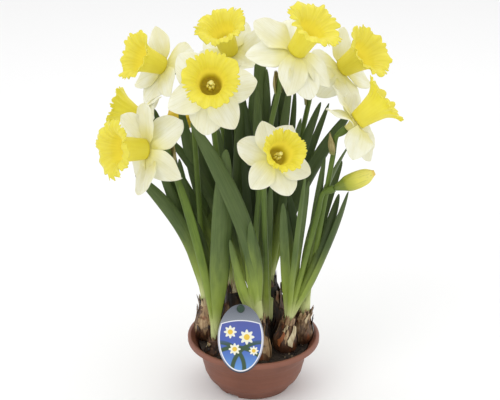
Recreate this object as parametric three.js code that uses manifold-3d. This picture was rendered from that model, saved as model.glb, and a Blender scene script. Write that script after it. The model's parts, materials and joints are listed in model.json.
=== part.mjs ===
// A potted daffodil: a low round bowl of soil with eight bulbs, each with its own tuft of leaves
// and flower stems, nine open blooms, one that is opening, one closed bud, and a plant label on
// a stake. Millimetres, +Z up, front towards -Y, origin at the centre of the bowl's flat base.

import * as THREE from "three";
import { mergeVertices } from "three/addons/utils/BufferGeometryUtils.js";
import Module from "manifold-3d";

const wasm = await Module();
wasm.setup();

// Clearance between pieces that touch
const GAP = 0.3;

// The bowl
const RIM_RADIUS = 80;
const RIM_WIDTH = 5;
const RIM_HEIGHT = 7;
const BOWL_HEIGHT = 67;
const BASE_RADIUS = 45;
const WALL = 2;
const FOOT_STEP_HEIGHT = 14;
const FOOT_STEP_RADIUS = 54.5;
// The outer wall between the foot's step and the rim, and the inner wall from the rim down to the
// floor, each as pairs of radius and height
const OUTER_WALL = [[60, 24], [64, 42], [72, 60]];
const INNER_WALL = [[70, 60], [62, 42], [57.5, 24], [43, 2]];
const BOWL_SIDES = 24;
const NOTCH_ANGLES = [-125, -5, 115];
const NOTCH_WIDTH = 16;
const NOTCH_DEPTH = 3.5;
const NOTCH_HEIGHT = 4;
const DRAIN_RADIUS = 3.5;
const DRAIN_CIRCLE = 28;
const DRAIN_COUNT = 5;

// The soil
const SOIL_HEIGHT = 56.5;
const SOIL_RINGS = [36, 66.5];
const SOIL_SIDES = 16;

// Each bulb: the foot and the neck of its axis, its greatest radius and its neck's radius
const BULBS = {
  left: { foot: [-53, 9, 50], neck: [-58, 12, 106], radius: 16.5, neckRadius: 8.5 },
  front_left: { foot: [-43, -25, 38], neck: [-46, -25, 76], radius: 11, neckRadius: 7 },
  front: { foot: [3, -37, 34], neck: [4, -41, 108], radius: 17.5, neckRadius: 9 },
  middle: { foot: [12, 0, 36], neck: [17, 3, 86], radius: 12, neckRadius: 8 },
  back_left: { foot: [-23, 30, 38], neck: [-26, 32, 116], radius: 16, neckRadius: 9.5 },
  back_right: { foot: [36, 31, 40], neck: [18, 32, 122], radius: 19, neckRadius: 9.5 },
  right: { foot: [36, -24.5, 52], neck: [42, -22, 97], radius: 14.2, neckRadius: 7.5 },
  far_right: { foot: [56, -0.5, 52], neck: [61, -6, 101], radius: 14, neckRadius: 9 },
};
const BULB_SIDES = 10;
// Along the axis, as shares of its length: how far up, and how wide against the greatest radius
const BULB_PROFILE = [[0, 0.42], [0.16, 0.84], [0.42, 1], [0.7, 0.7]];
const SOCKET_WALL = 1.3;
const SOCKET_DEPTH = 12;
const SHEATH_HEIGHT = 26;
const SHEATH_TAPER = 0.72;
const SHEATH_SIDES = 8;
const RAGGED = 5;
const ROOT_DEPTH = 3;
const ROOT_SPREAD = 0.4;

// Leaves: the tip, how far the middle of the curve's pull stands off the straight line from the
// neck, the full width, the azimuth that the blade's face looks to and its twist to the tip
const LEAF_THICKNESS = 1.3;
const LEAF_KEEL = 0.28;
const NARROW_LEAF = 11.5;
const LEAF_STATIONS = [0, 0.12, 0.33, 0.59, 0.84, 1];
const LEAVES = {
  left: [
    { tip: [-136, -8, 275], bow: [20, 0, 24], width: 17, face: -110, twist: 50 },
    { tip: [-86, 4, 290], bow: [-4, 0, 10], width: 11, face: -80, twist: 10 },
    { tip: [-116, 45, 337], bow: [0, -4, 20], width: 13, face: 110, twist: -10 },
  ],
  front_left: [
    { tip: [-31, -44, 318], bow: [2, -3, 10], width: 24, face: -95, twist: 25 },
    { tip: [-93, -22, 291], bow: [10, -9, 20], width: 11, face: -110, twist: 15 },
    { tip: [-74, -12, 230], bow: [14, 1, 30], width: 8, face: -90, twist: 10 },
  ],
  front: [
    { tip: [-27, -24, 259], bow: [4, 0, 0], width: 9, face: -95, twist: 10 },
    { tip: [-27, -48, 211], bow: [-6, -2, 0], width: 9, face: -85, twist: 10 },
    { tip: [-8, -46, 205], bow: [-5, -5, 8], width: 7, face: -85, twist: 10 },
    { tip: [-69, -46, 350], bow: [50, -14, -20], width: 21, face: -40, twist: -52 },
    { tip: [-4, -56, 236], bow: [-2, 0, 0], width: 11, face: -100, twist: 10 },
  ],
  middle: [
    { tip: [3, 6, 372], bow: [0, 0, 0], width: 14, face: -92, twist: 12 },
    { tip: [-9, 14, 352], bow: [0, 0, 0], width: 13, face: -100, twist: 15 },
    { tip: [20, -16, 268], bow: [-4, -4, 0], width: 10, face: -90, twist: 10 },
  ],
  back_left: [
    { tip: [-90, 12, 276], bow: [2, 0, 5], width: 13, face: -80, twist: 10 },
    { tip: [-81, 14, 231], bow: [0, -2, -2], width: 11, face: -85, twist: 10 },
    { tip: [-102, 26, 310], bow: [34, 2, 22], width: 13, face: -90, twist: 20 },
    { tip: [-85, 26, 349], bow: [-13, 2, 4], width: 15, face: -85, twist: 10 },
    { tip: [-47, 12, 341], bow: [10, 0, 0], width: 15, face: -80, twist: 10 },
    { tip: [-12, 30, 358], bow: [4, 0, 0], width: 19, face: -95, twist: 15 },
    { tip: [-22, 58, 336], bow: [0, -6, 0], width: 14, face: 90, twist: 30 },
    { tip: [-78, 76, 300], bow: [14, -14, 22], width: 14, face: 110, twist: 10 },
  ],
  back_right: [
    { tip: [15, 42, 386], bow: [0, 0, 0], width: 12, face: -90, twist: 20 },
    { tip: [42, 20, 378], bow: [-6, 0, 0], width: 12, face: -75, twist: -20 },
    { tip: [25, 30, 362], bow: [-4, 0, 0], width: 14, face: -100, twist: 10 },
    { tip: [54, 10, 337], bow: [-4, 0, 0], width: 11, face: -90, twist: 20 },
    { tip: [77, 24, 352], bow: [-14, 0, 0], width: 13, face: -100, twist: 10 },
    { tip: [88, 46, 344], bow: [-8, 0, 0], width: 10, face: 80, twist: 20 },
    { tip: [34, 88, 318], bow: [0, -16, 10], width: 15, face: 90, twist: 20 },
    { tip: [113, 22, 343], bow: [-32, 0, 0], width: 17, face: -95, twist: 5 },
  ],
  right: [
    { tip: [33, -44, 254], bow: [-2, -6, 8], width: 11, face: -90, twist: 15 },
    { tip: [56, -80, 303], bow: [-4, -6, -10], width: 7, face: -80, twist: 20 },
    { tip: [62, -34, 277], bow: [-2, 0, 0], width: 9, face: -100, twist: 15 },
    { tip: [39, -6, 255], bow: [19, 4, 8], width: 10, face: -95, twist: 10 },
    { tip: [109, -10, 255], bow: [16, -23, -7], width: 11, face: -60, twist: 10 },
    { tip: [99, -2, 249], bow: [14, -30, -1], width: 12, face: -100, twist: 10 },
  ],
  far_right: [
    { tip: [110, 4, 308], bow: [-34, 0, 0], width: 11, face: -70, twist: 30 },
    { tip: [82, 2, 294], bow: [-4, 0, 0], width: 10, face: -90, twist: 20 },
    { tip: [104, 30, 278], bow: [-12, 0, 6], width: 12, face: 60, twist: 20 },
  ],
};

// Flower stems
const STEM_RADIUS = 3.4;
const STEM_TOP_RADIUS = 2.6;
const STEM_SIDES = 5;
const POD_RADIUS = 4.4;
const POD_LENGTH = 12;
const NECK_LENGTH = 15;
const BEND_REACH = 13;
const BEND_DROP = 20;

// Open blooms: the bulb that carries each, the centre of its ring of petals, the azimuth and
// elevation that it faces, its size, and each petal's angle round the bloom, its sweep forward
// and, where it has one, its roll about its own length. Reach is the length of the petals against
// the usual, bow bends the stem, and bend is how far behind the pod its corner lies. Flare is how
// flat the trumpet's mouth opens, from 0, a funnel, to 1, and its width and length
const BLOOMS = {
  a: { bulb: "left", at: [-102, 0, 401.5], azimuth: -150, elevation: 26, size: 0.94,
    flare: [0.6, 0.95, 1],
    petals: [[40, -4], [122, 27], [175, -10], [225, 16], [275, 18], [330, 0]] },
  b: { bulb: "back_left", at: [-46, -70, 396], azimuth: -88, elevation: 29, size: 1,
    flare: [0.8, 0.96, 1],
    petals: [[8, 4], [75, -40], [133, 12], [205, -3], [262, -11], [300, -9]] },
  c: { bulb: "back_left", at: [-27.5, 34, 409], azimuth: -116, elevation: 57, size: 0.94,
    flare: [1, 0.98, 1.1],
    petals: [[35, 26], [90, 4], [150, -5], [215, 0], [285, 30], [330, 14]] },
  d: { bulb: "front", at: [46, -30, 426], azimuth: -42, elevation: 53, size: 1, reach: 1.12, bow: [-22, 0, 0],
    flare: [1, 1.03, 1.08],
    petals: [[50, 4], [112, 0, -28], [152, -25], [226, -25], [257, -18], [300, -20]] },
  e: { bulb: "back_right", at: [103, 44, 387], azimuth: -33, elevation: 36, size: 1,
    flare: [0.6, 1.04, 1.08], bend: 26,
    petals: [[15, 4], [66, 30], [148, -4], [200, -44], [250, 10], [322, 0]] },
  f: { bulb: "far_right", at: [113, -38, 349], azimuth: 2, elevation: 38, size: 0.95,
    flare: [0.55, 1, 1.03], bend: 3,
    petals: [[15, 30], [80, 5], [125, -20, 25], [219, -45, 46], [266, -15, 35], [292, -5, 28]] },
  g: { bulb: "middle", at: [22, -80, 320], azimuth: -69, elevation: 33, size: 0.86,
    flare: [0.55, 0.88, 1],
    petals: [[52, 8], [98, 6], [147, 0], [222, -2], [284, 6], [328, 8]] },
  h: { bulb: "front_left", at: [-121, -40, 317], azimuth: -145, elevation: 11, size: 1.07,
    flare: [1, 0.98, 1], bow: [12, 0, 0], bend: 4,
    petals: [[58, -32], [92, 15], [145, 26], [245, -18], [287, 22], [334, -32]] },
  i: { bulb: "left", at: [-134, 50, 327], azimuth: 172, elevation: 20, size: 0.76,
    flare: [0, 1.05, 1.05],
    petals: [[30, -34], [88, -36], [150, -20], [212, 0], [270, -4], [330, -30]] },
};

// Petals
const PETAL_LENGTH = 50;
const OUTER_PETAL_WIDTH = 41;
const INNER_PETAL_WIDTH = 35;
const PETAL_THICKNESS = 1.1;
const PETAL_ROOT = 5;
const PETAL_FLAT = 14;
const PETAL_STATIONS = [0, 0.26, 0.52, 0.8, 1];
const INNER_LAYER = -1.5;
const OUTER_LAYER = -3.4;
const HEART_RADIUS = 8;
// Where a rolled petal's roll starts and is full, as shares of its length
const ROLL_START = 0.1;
const ROLL_END = 0.5;
const PETAL_TIP_WIDTH = 1.6;

// Trumpets
const TRUMPET_LENGTH = 41;
const TRUMPET_SIDES = 12;
const TRUMPET_FOOT = 11;
// The waist's radius and its height as a share of the length
const FUNNEL_WAIST = [17, 0.6];
const FLAT_WAIST = [14, 0.76];
const TRUMPET_MOUTH = 30.5;
const TRUMPET_WALL = 1.2;
const FRILL = 0.1;
const STYLE_RADIUS = 1.7;
const STYLE_LENGTH = 24;

// The opening bloom and the closed bud, as blooms without petals laid open
const OPENING = { bulb: "back_left", at: [-76.5, 80, 315], azimuth: 175, elevation: 5, size: 1 };
const BUD = { bulb: "right", at: [104, -42, 277], azimuth: -6, elevation: 25, size: 1, bend: 4 };
const BUD_LENGTH = 34;
const BUD_RADIUS = 9.4;
const OPENING_LENGTH = 27;
const OPENING_RADIUS = 13;
// A bud's outline: heights as shares of its length, or of its neck's where below zero, and widths
// as shares of its greatest radius
const BUD_PROFILE = [[-1, 0.3], [-0.47, 0.62], [0.1, 0.96], [0.42, 1], [0.75, 0.66], [0.97, 0.13]];
const BUD_SIDES = 9;

// The papery sheath at each stem's bend
const SPATHE_LENGTH = 25;
// Up the sheath, as shares of its length, and the radius that it is rolled to
const SPATHE_STATIONS = [[0, 4.35], [0.4, 5.7], [1, 1.6]];
const SPATHE_WRAP = 200;
const SPATHE_DRIFT = 5;
const SPATHE_THICKNESS = 0.7;

// The label and its stake
const LABEL_WIDTH = 53;
const LABEL_HEIGHT = 80;
const LABEL_THICKNESS = 1;
const LABEL_SEGMENTS = 9;
const LABEL_CENTRE = [-15, -71.8, 97];
const LABEL_LEAN = 17.5;
const LABEL_HOLE = [0, 35];
const LABEL_HOLE_RADIUS = 3;
const STAKE_RADIUS = 2.4;
const STAKE_FOOT = [-17, -50, 26];
const STAKE_CLEARANCE = 1.6;
const PEG_HEAD_RADIUS = 4.6;

const UP = new THREE.Vector3(0, 0, 1);
const vec = (list) => new THREE.Vector3(...list);
const radians = THREE.MathUtils.degToRad;

// A repeatable random number between 0 and 1 for each whole number
function chance(n) {
  const wave = Math.sin(n * 127.1 + 11.7) * 43758.5453;
  return wave - Math.floor(wave);
}

// A closed geometry from points and triangles, turned so that its faces look outwards
function closed(points, triangles) {
  let volume = 0;
  for (const [a, b, c] of triangles) {
    volume += points[a].dot(new THREE.Vector3().crossVectors(points[b], points[c]));
  }
  const faces = volume < 0 ? triangles.map(([a, b, c]) => [a, c, b]) : triangles;
  const geometry = new THREE.BufferGeometry();
  const places = points.flatMap((point) => point.toArray());
  geometry.setAttribute("position", new THREE.Float32BufferAttribute(places, 3));
  geometry.setIndex(faces.flat());
  return geometry;
}

// A geometry as a solid for cutting and joining, and back again
function solid(geometry) {
  const bare = geometry.clone();
  bare.deleteAttribute("normal");
  bare.deleteAttribute("uv");
  const merged = mergeVertices(bare, 1e-4);
  return new wasm.Manifold(new wasm.Mesh({
    numProp: 3,
    vertProperties: new Float32Array(merged.attributes.position.array),
    triVerts: new Uint32Array(merged.index.array),
  }));
}

function shape(manifold) {
  const mesh = manifold.getMesh();
  const geometry = new THREE.BufferGeometry();
  geometry.setAttribute("position", new THREE.Float32BufferAttribute(mesh.vertProperties, 3));
  geometry.setIndex([...mesh.triVerts]);
  return geometry;
}

// Joined geometries as one body, with no sealed hollow or loose scrap left in it
function fuse(geometries) {
  const joined = geometries.map(solid).reduce((whole, part) => whole.add(part));
  const larger = (one, other) => (other.volume() > one.volume() ? other : one);
  return shape(joined.decompose().reduce(larger));
}

// A thin closed blade: rows of points along its middle surface, thickened along its normals,
// with both faces split into triangles the same way
function blade(rows, thickness) {
  const across = rows[0].length;
  const last = rows.length - 1;
  const normal = (i, j) => {
    const along = rows[Math.min(i + 1, last)][j].clone().sub(rows[Math.max(i - 1, 0)][j]);
    const side = rows[i][Math.min(j + 1, across - 1)].clone().sub(rows[i][Math.max(j - 1, 0)]);
    return along.cross(side).normalize();
  };
  const front = [];
  const back = [];
  rows.forEach((row, i) => row.forEach((point, j) => {
    const offset = normal(i, j).multiplyScalar(thickness / 2);
    front.push(point.clone().add(offset));
    back.push(point.clone().sub(offset));
  }));
  const behind = front.length;
  const at = (i, j) => i * across + j;
  const triangles = [];
  for (let i = 0; i < last; i++) {
    for (let j = 0; j < across - 1; j++) {
      const halves = [
        [at(i, j), at(i + 1, j), at(i + 1, j + 1)],
        [at(i, j), at(i + 1, j + 1), at(i, j + 1)],
      ];
      for (const [a, b, c] of halves) {
        triangles.push([a, b, c], [a + behind, c + behind, b + behind]);
      }
    }
  }
  const edge = [];
  for (let j = 0; j < across; j++) {
    edge.push(at(0, j));
  }
  for (let i = 1; i <= last; i++) {
    edge.push(at(i, across - 1));
  }
  for (let j = across - 2; j >= 0; j--) {
    edge.push(at(last, j));
  }
  for (let i = last - 1; i > 0; i--) {
    edge.push(at(i, 0));
  }
  edge.forEach((a, k) => {
    const b = edge[(k + 1) % edge.length];
    triangles.push([a, b, b + behind], [a, b + behind, a + behind]);
  });
  return closed([...front, ...back], triangles);
}

// A closed round body: rings of points, all with the same count, capped at both ends by a point
function body(rings, start, end) {
  const sides = rings[0].length;
  const points = [start, ...rings.flat(), end];
  const finish = points.length - 1;
  const at = (i, j) => 1 + i * sides + (j % sides);
  const triangles = [];
  for (let j = 0; j < sides; j++) {
    triangles.push([0, at(0, j + 1), at(0, j)]);
    triangles.push([finish, at(rings.length - 1, j), at(rings.length - 1, j + 1)]);
    for (let i = 0; i < rings.length - 1; i++) {
      triangles.push([at(i, j), at(i, j + 1), at(i + 1, j + 1)]);
      triangles.push([at(i, j), at(i + 1, j + 1), at(i + 1, j)]);
    }
  }
  return closed(points, triangles);
}

// Two directions square to a line and to each other, the first as near as can be to a guide
function squareTo(direction, guide) {
  const first = guide.clone().addScaledVector(direction, -guide.dot(direction)).normalize();
  return [first, new THREE.Vector3().crossVectors(direction, first)];
}

// A ring of points round a centre, square to a direction
function ring(centre, direction, radius, sides, guide = new THREE.Vector3(1, 0.2, 0)) {
  const [first, second] = squareTo(direction, guide);
  return Array.from({ length: sides }, (_, k) => {
    const turn = (2 * Math.PI * k) / sides;
    const size = typeof radius === "function" ? radius(k) : radius;
    const point = centre.clone().addScaledVector(first, size * Math.cos(turn));
    return point.addScaledVector(second, size * Math.sin(turn));
  });
}

// A round stem through a list of points, with a radius at each
function rod(points, radii, sides) {
  const rings = points.map((point, i) => {
    const before = points[Math.max(i - 1, 0)];
    const after = points[Math.min(i + 1, points.length - 1)];
    return ring(point, after.clone().sub(before).normalize(), radii[i], sides);
  });
  return body(rings, points[0], points[points.length - 1]);
}

// Points of a quadratic curve
function curve(from, pull, to, shares) {
  const bend = new THREE.QuadraticBezierCurve3(from, pull, to);
  return shares.map((share) => bend.getPoint(share));
}

// The bowl

function bowl() {
  const top = BOWL_HEIGHT;
  const foot = [
    [0, 0], [BASE_RADIUS, 0], [FOOT_STEP_RADIUS - 1.5, FOOT_STEP_HEIGHT - 1],
    [FOOT_STEP_RADIUS + 1, FOOT_STEP_HEIGHT],
  ];
  const rim = [
    [RIM_RADIUS, top - RIM_HEIGHT], [RIM_RADIUS, top - 1], [RIM_RADIUS - 1, top],
    [RIM_RADIUS - RIM_WIDTH, top], [RIM_RADIUS - RIM_WIDTH, top - 2],
  ];
  const outline = [...foot, ...OUTER_WALL, ...rim, ...INNER_WALL, [0, WALL]];
  const profile = outline.map(([radius, height]) => new THREE.Vector2(radius, height));
  let cut = solid(upright(new THREE.LatheGeometry(profile, BOWL_SIDES)));
  for (const angle of NOTCH_ANGLES) {
    const notch = new THREE.BoxGeometry(NOTCH_DEPTH * 2, NOTCH_WIDTH, NOTCH_HEIGHT * 2);
    notch.translate(BASE_RADIUS, 0, 0);
    notch.rotateZ(radians(angle));
    cut = cut.subtract(solid(notch));
  }
  for (let k = 0; k < DRAIN_COUNT; k++) {
    const hole = upright(new THREE.CylinderGeometry(DRAIN_RADIUS, DRAIN_RADIUS, WALL * 4, 6));
    hole.translate(DRAIN_CIRCLE, 0, 0);
    hole.rotateZ((2 * Math.PI * (k + 0.5)) / DRAIN_COUNT);
    cut = cut.subtract(solid(hole));
  }
  return shape(cut);
}

// Lathes and cylinders are made round Y: this stands them up
function upright(geometry) {
  return geometry.rotateX(Math.PI / 2);
}

// The soil

function soilTop(x, y) {
  const broad = 1.7 * Math.sin(0.13 * x + 1) * Math.cos(0.11 * y);
  return SOIL_HEIGHT + broad + 1.1 * Math.sin(0.23 * (x + y));
}

function soil() {
  const around = (radius, height) => Array.from({ length: SOIL_SIDES }, (_, k) => {
    const turn = (2 * Math.PI * k) / SOIL_SIDES;
    const x = radius * Math.cos(turn);
    const y = radius * Math.sin(turn);
    return new THREE.Vector3(x, y, height === null ? soilTop(x, y) : height);
  });
  const top = SOIL_RINGS.map((radius) => around(radius, null));
  const side = INNER_WALL.slice(1).map(([radius, height]) => around(radius - 2 * GAP, height + GAP));
  const crown = new THREE.Vector3(0, 0, soilTop(0, 0));
  let cut = solid(body([...top, ...side], crown, new THREE.Vector3(0, 0, WALL + GAP)));
  for (const bulb of Object.values(BULBS)) {
    cut = cut.subtract(solid(bulbBody(bulb, GAP, false)));
  }
  return shape(cut.subtract(solid(stakeRod(GAP))));
}

// Bulbs: a round body with a socket in its neck, or a plain one to cut its place in the soil

function bulbAxis({ foot, neck }) {
  const axis = vec(neck).sub(vec(foot));
  return { foot: vec(foot), length: axis.length(), direction: axis.normalize() };
}

function bulbBody(bulb, grow, withSocket) {
  const { foot, length, direction } = bulbAxis(bulb);
  const at = (height) => foot.clone().addScaledVector(direction, height);
  const seed = Math.round(bulb.neck[0] * 3 + bulb.neck[1] * 7);
  const wobble = (k, i) => 1 + 0.07 * (chance(seed + k * 5 + i) - 0.5);
  const highest = BULB_PROFILE.length - 1;
  const rings = BULB_PROFILE.map(([share, width], i) => {
    const least = i === highest ? bulb.neckRadius : 0;
    const radius = (k) => Math.max(bulb.radius * width * wobble(k, i), least) + grow;
    return ring(at(share * length - (i === 0 ? grow : 0)), direction, radius, BULB_SIDES);
  });
  if (!withSocket) {
    return body(rings, at(-2 * grow), at(BULB_PROFILE[highest][0] * length));
  }
  const ragged = (radius) => ring(at(length), direction, radius, BULB_SIDES)
    .map((point, k) => point.addScaledVector(direction, -RAGGED * chance(seed + k * 3)));
  const bore = bulb.neckRadius - SOCKET_WALL;
  const depth = at(length - SOCKET_DEPTH);
  rings.push(ragged(bulb.neckRadius), ragged(bore), ring(depth, direction, bore, BULB_SIDES));
  return body(rings, at(0), depth);
}

// Tufts: the leaves and flower stems of one bulb, grown together in a sheath that stands in its neck

function tuft(name) {
  const bulb = BULBS[name];
  const { foot, length, direction } = bulbAxis(bulb);
  const at = (height) => foot.clone().addScaledVector(direction, height);
  const radius = (bulb.neckRadius - SOCKET_WALL) * Math.cos(Math.PI / BULB_SIDES) - GAP;
  const low = length - SOCKET_DEPTH + GAP;
  const sheath = [low, length + SHEATH_HEIGHT * 0.5, length + SHEATH_HEIGHT].map(at);
  const parts = [rod(sheath, [radius, radius * 0.9, radius * SHEATH_TAPER], SHEATH_SIDES)];
  const grown = [...LEAVES[name], ...carried(name)].sort((one, other) => reachY(one) - reachY(other));
  grown.forEach((item, k) => {
    const place = grown.length > 1 ? (2 * k) / (grown.length - 1) - 1 : 0;
    const root = at(length - ROOT_DEPTH).add(new THREE.Vector3(0, place * radius * ROOT_SPREAD, 0));
    parts.push(item.tip ? leafBlade(item, root, radius) : flowerStem(item, root));
  });
  return fuse(parts);
}

// How far back a leaf or a flower ends: those that end further back also start further back
const reachY = (item) => (item.tip || item.at)[1];

// Every flower that one bulb carries, the opening one and the bud included
function carried(name) {
  return [...Object.values(BLOOMS), OPENING, BUD].filter((bloom) => bloom.bulb === name);
}

function leafBlade({ tip, bow, width, face, twist }, root, sheathRadius) {
  const end = vec(tip);
  const pull = root.clone().lerp(end, 0.5).add(vec(bow));
  const bend = new THREE.QuadraticBezierCurve3(root, pull, end);
  const rows = LEAF_STATIONS.map((share) => {
    const centre = bend.getPoint(share);
    const along = bend.getTangent(share);
    const turn = radians(face + twist * share + 90);
    const [side, normal] = squareTo(along, new THREE.Vector3(Math.cos(turn), Math.sin(turn), 0));
    const half = leafHalfWidth(share, width, sheathRadius);
    return (width < NARROW_LEAF ? [-1, 1] : [-1, 0, 1]).map((step) => {
      const rise = LEAF_KEEL * half * (Math.abs(step) - 0.5);
      return centre.clone().addScaledVector(side, half * step).addScaledVector(normal, rise);
    });
  });
  return blade(rows, LEAF_THICKNESS);
}

// Narrow in the sheath, full from a third of the way up, then drawn in to a blunt tip
function leafHalfWidth(share, width, sheathRadius) {
  const low = Math.min(sheathRadius * 0.7, width * 0.42);
  const rise = THREE.MathUtils.smoothstep(share, 0.02, 0.4);
  const full = low + (width / 2 - low) * rise;
  const toTip = Math.max((share - 0.6) / 0.4, 0);
  return Math.max(full * Math.sqrt(Math.max(1 - toTip * toTip, 0)), 1);
}

// The place and the facing of a flower
function facing({ at, azimuth, elevation }) {
  const turn = radians(azimuth);
  const tilt = radians(elevation);
  const level = Math.cos(tilt);
  const axis = new THREE.Vector3(level * Math.cos(turn), level * Math.sin(turn), Math.sin(tilt));
  return { base: vec(at), axis };
}

// Where the stem turns towards its flower: the start of the bend, its corner and the pod's foot
function stemBend(bloom, root) {
  const { base, axis } = facing(bloom);
  const behind = NECK_LENGTH * bloom.size + GAP + POD_LENGTH;
  const podFoot = base.clone().addScaledVector(axis, -behind);
  const corner = podFoot.clone().addScaledVector(axis, -(bloom.bend ?? BEND_REACH));
  const rise = corner.clone().sub(root).normalize().add(UP).normalize();
  const start = corner.clone().addScaledVector(rise, -BEND_DROP);
  return { start, corner, podFoot, rise, axis };
}

function flowerStem(bloom, root) {
  const { start, corner, podFoot, rise, axis } = stemBend(bloom, root);
  const pull = root.clone().lerp(start, 0.5).add(vec(bloom.bow || [0, 0, 0]));
  const low = curve(root, pull, start, [0, 0.3, 0.6, 0.9]);
  const high = curve(start, corner, podFoot, [0.1, 0.5, 0.8, 1]);
  const pod = [0.25, 0.75, 1].map((share) => podFoot.clone().addScaledVector(axis, POD_LENGTH * share));
  const points = [...low, ...high, ...pod];
  const radii = points.map((_, i) => STEM_RADIUS + (STEM_TOP_RADIUS - STEM_RADIUS) * Math.min(i / 7, 1));
  radii.splice(-3, 3, POD_RADIUS, POD_RADIUS, POD_RADIUS * 0.75);
  return rod(points, radii, STEM_SIDES);
}

// The papery sheath round a stem's bend, open on the side that the flower leaves by
function spathe(bloom) {
  const { foot, length, direction } = bulbAxis(BULBS[bloom.bulb]);
  const root = foot.clone().addScaledVector(direction, length - ROOT_DEPTH);
  const { start, rise, axis } = stemBend(bloom, root);
  const [back, side] = squareTo(rise, axis.clone().negate());
  const rows = SPATHE_STATIONS.map(([share, radius]) => {
    const centre = start.clone().addScaledVector(rise, SPATHE_LENGTH * share)
      .addScaledVector(back, SPATHE_DRIFT * share * share);
    return [-1, -0.5, 0, 0.5, 1].map((step) => {
      const turn = radians((SPATHE_WRAP / 2) * step);
      const point = centre.clone().addScaledVector(back, radius * Math.cos(turn));
      return point.addScaledVector(side, radius * Math.sin(turn));
    });
  });
  return blade(rows, SPATHE_THICKNESS);
}

// Blooms, made round their own axis: +Z is the way the bloom faces, +Y is its upper side

function petal([angle, sweep, roll = 0], isOuter, seed, length) {
  const turn = radians(angle);
  const lift = Math.tan(radians(sweep));
  const width = isOuter ? OUTER_PETAL_WIDTH : INNER_PETAL_WIDTH;
  const layer = isOuter ? OUTER_LAYER : INNER_LAYER;
  const slope = Math.cos(radians(sweep));
  const curl = 5 * (chance(seed) - 0.6);
  const twist = 0.35 * (chance(seed + 31) - 0.5);
  const rows = PETAL_STATIONS.map((share) => {
    const reach = PETAL_ROOT + (length - PETAL_ROOT) * share;
    const beyond = Math.max(reach - PETAL_FLAT, 0);
    const distance = Math.min(reach, PETAL_FLAT) + beyond * slope;
    const height = layer + beyond * slope * lift + curl * share ** 3;
    const half = petalHalfWidth(share, width);
    const rolled = radians(roll) * THREE.MathUtils.smoothstep(share, ROLL_START, ROLL_END);
    return [-1, 0, 1].map((step) => {
      const across = half * step * Math.cos(rolled);
      const raised = half * step * Math.sin(rolled);
      const out = distance - raised * Math.sin(radians(sweep));
      const cup = (isOuter ? -0.1 : 0.1) * half * Math.abs(step) + twist * across * share + raised * slope;
      return new THREE.Vector3(
        out * Math.cos(turn) - across * Math.sin(turn),
        out * Math.sin(turn) + across * Math.cos(turn),
        height + (share === 0 ? 0 : cup));
    });
  });
  return blade(rows, PETAL_THICKNESS);
}

// Narrow at the foot, broad in the middle, with a small point at the tip
function petalHalfWidth(share, width) {
  const swell = 0.22 + 0.78 * Math.sin((Math.min(share / 0.5, 1) * Math.PI) / 2);
  const toTip = Math.max((share - 0.4) / 0.6, 0);
  return Math.max((width / 2) * swell * (1 - toTip ** 2) ** 0.7, PETAL_TIP_WIDTH / 2);
}

function perianth({ petals, reach = 1 }, seed) {
  const top = INNER_LAYER + PETAL_THICKNESS / 2 + 0.2;
  const back = OUTER_LAYER - PETAL_THICKNESS / 2 - 0.2;
  const core = [[3.4, -NECK_LENGTH], [4.4, -9], [HEART_RADIUS, back], [HEART_RADIUS, top]];
  const rings = core.map(([radius, z]) => ring(new THREE.Vector3(0, 0, z), UP, radius, 6));
  const heart = body(rings, new THREE.Vector3(0, 0, -NECK_LENGTH), new THREE.Vector3(0, 0, top));
  const length = PETAL_LENGTH * reach;
  const blades = petals.map((entry, k) => petal(entry, k % 2 === 0, seed * 17 + k, length));
  return fuse([heart, ...blades]);
}

// A flat mouth has its waist higher and narrower than a funnel's
function trumpet({ flare: [open, wide, long] }, seed) {
  const length = TRUMPET_LENGTH * long;
  const mouth = TRUMPET_MOUTH * wide;
  const waist = length * (FUNNEL_WAIST[1] + (FLAT_WAIST[1] - FUNNEL_WAIST[1]) * open);
  const narrow = FUNNEL_WAIST[0] + (FLAT_WAIST[0] - FUNNEL_WAIST[0]) * open;
  const floor = GAP + TRUMPET_WALL;
  const profile = [
    [TRUMPET_FOOT, GAP, 0], [narrow, waist, 0.2], [mouth, length - TRUMPET_WALL, 1],
    [mouth - 0.6, length, 1], [narrow - TRUMPET_WALL, waist + TRUMPET_WALL, 0.2],
    [TRUMPET_FOOT - TRUMPET_WALL, floor, 0],
  ];
  const rings = profile.map(([radius, height, share]) => Array.from({ length: TRUMPET_SIDES }, (_, k) => {
    const turn = (2 * Math.PI * k) / TRUMPET_SIDES;
    const flick = k % 2 === 0 ? 1 : -1;
    const drift = chance(seed * 41 + k) - 0.5;
    const r = radius * (1 + share * (FRILL * flick + 0.08 * drift));
    const wave = share * (2.2 * flick - 3 * drift);
    return new THREE.Vector3(r * Math.cos(turn), r * Math.sin(turn), height + wave);
  }));
  const shell = body(rings, new THREE.Vector3(0, 0, GAP), new THREE.Vector3(0, 0, floor));
  const style = [floor / 2, STYLE_LENGTH - 3, STYLE_LENGTH].map((z) => new THREE.Vector3(0, 0, z));
  return fuse([shell, rod(style, [STYLE_RADIUS, STYLE_RADIUS, STYLE_RADIUS + 1], 6)]);
}

// A closed bud: a spindle with three soft ridges, on its neck
function bud(length, radius) {
  const rings = BUD_PROFILE.map(([share, width]) => {
    const height = share * (share < 0 ? NECK_LENGTH : length);
    const ridged = (k) => radius * width * (1 + 0.07 * Math.cos((2 * Math.PI * 3 * k) / BUD_SIDES));
    return ring(new THREE.Vector3(0, 0, height), UP, ridged, BUD_SIDES);
  });
  return body(rings, new THREE.Vector3(0, 0, -NECK_LENGTH), new THREE.Vector3(0, 0, length));
}

// The label and its stake

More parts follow.
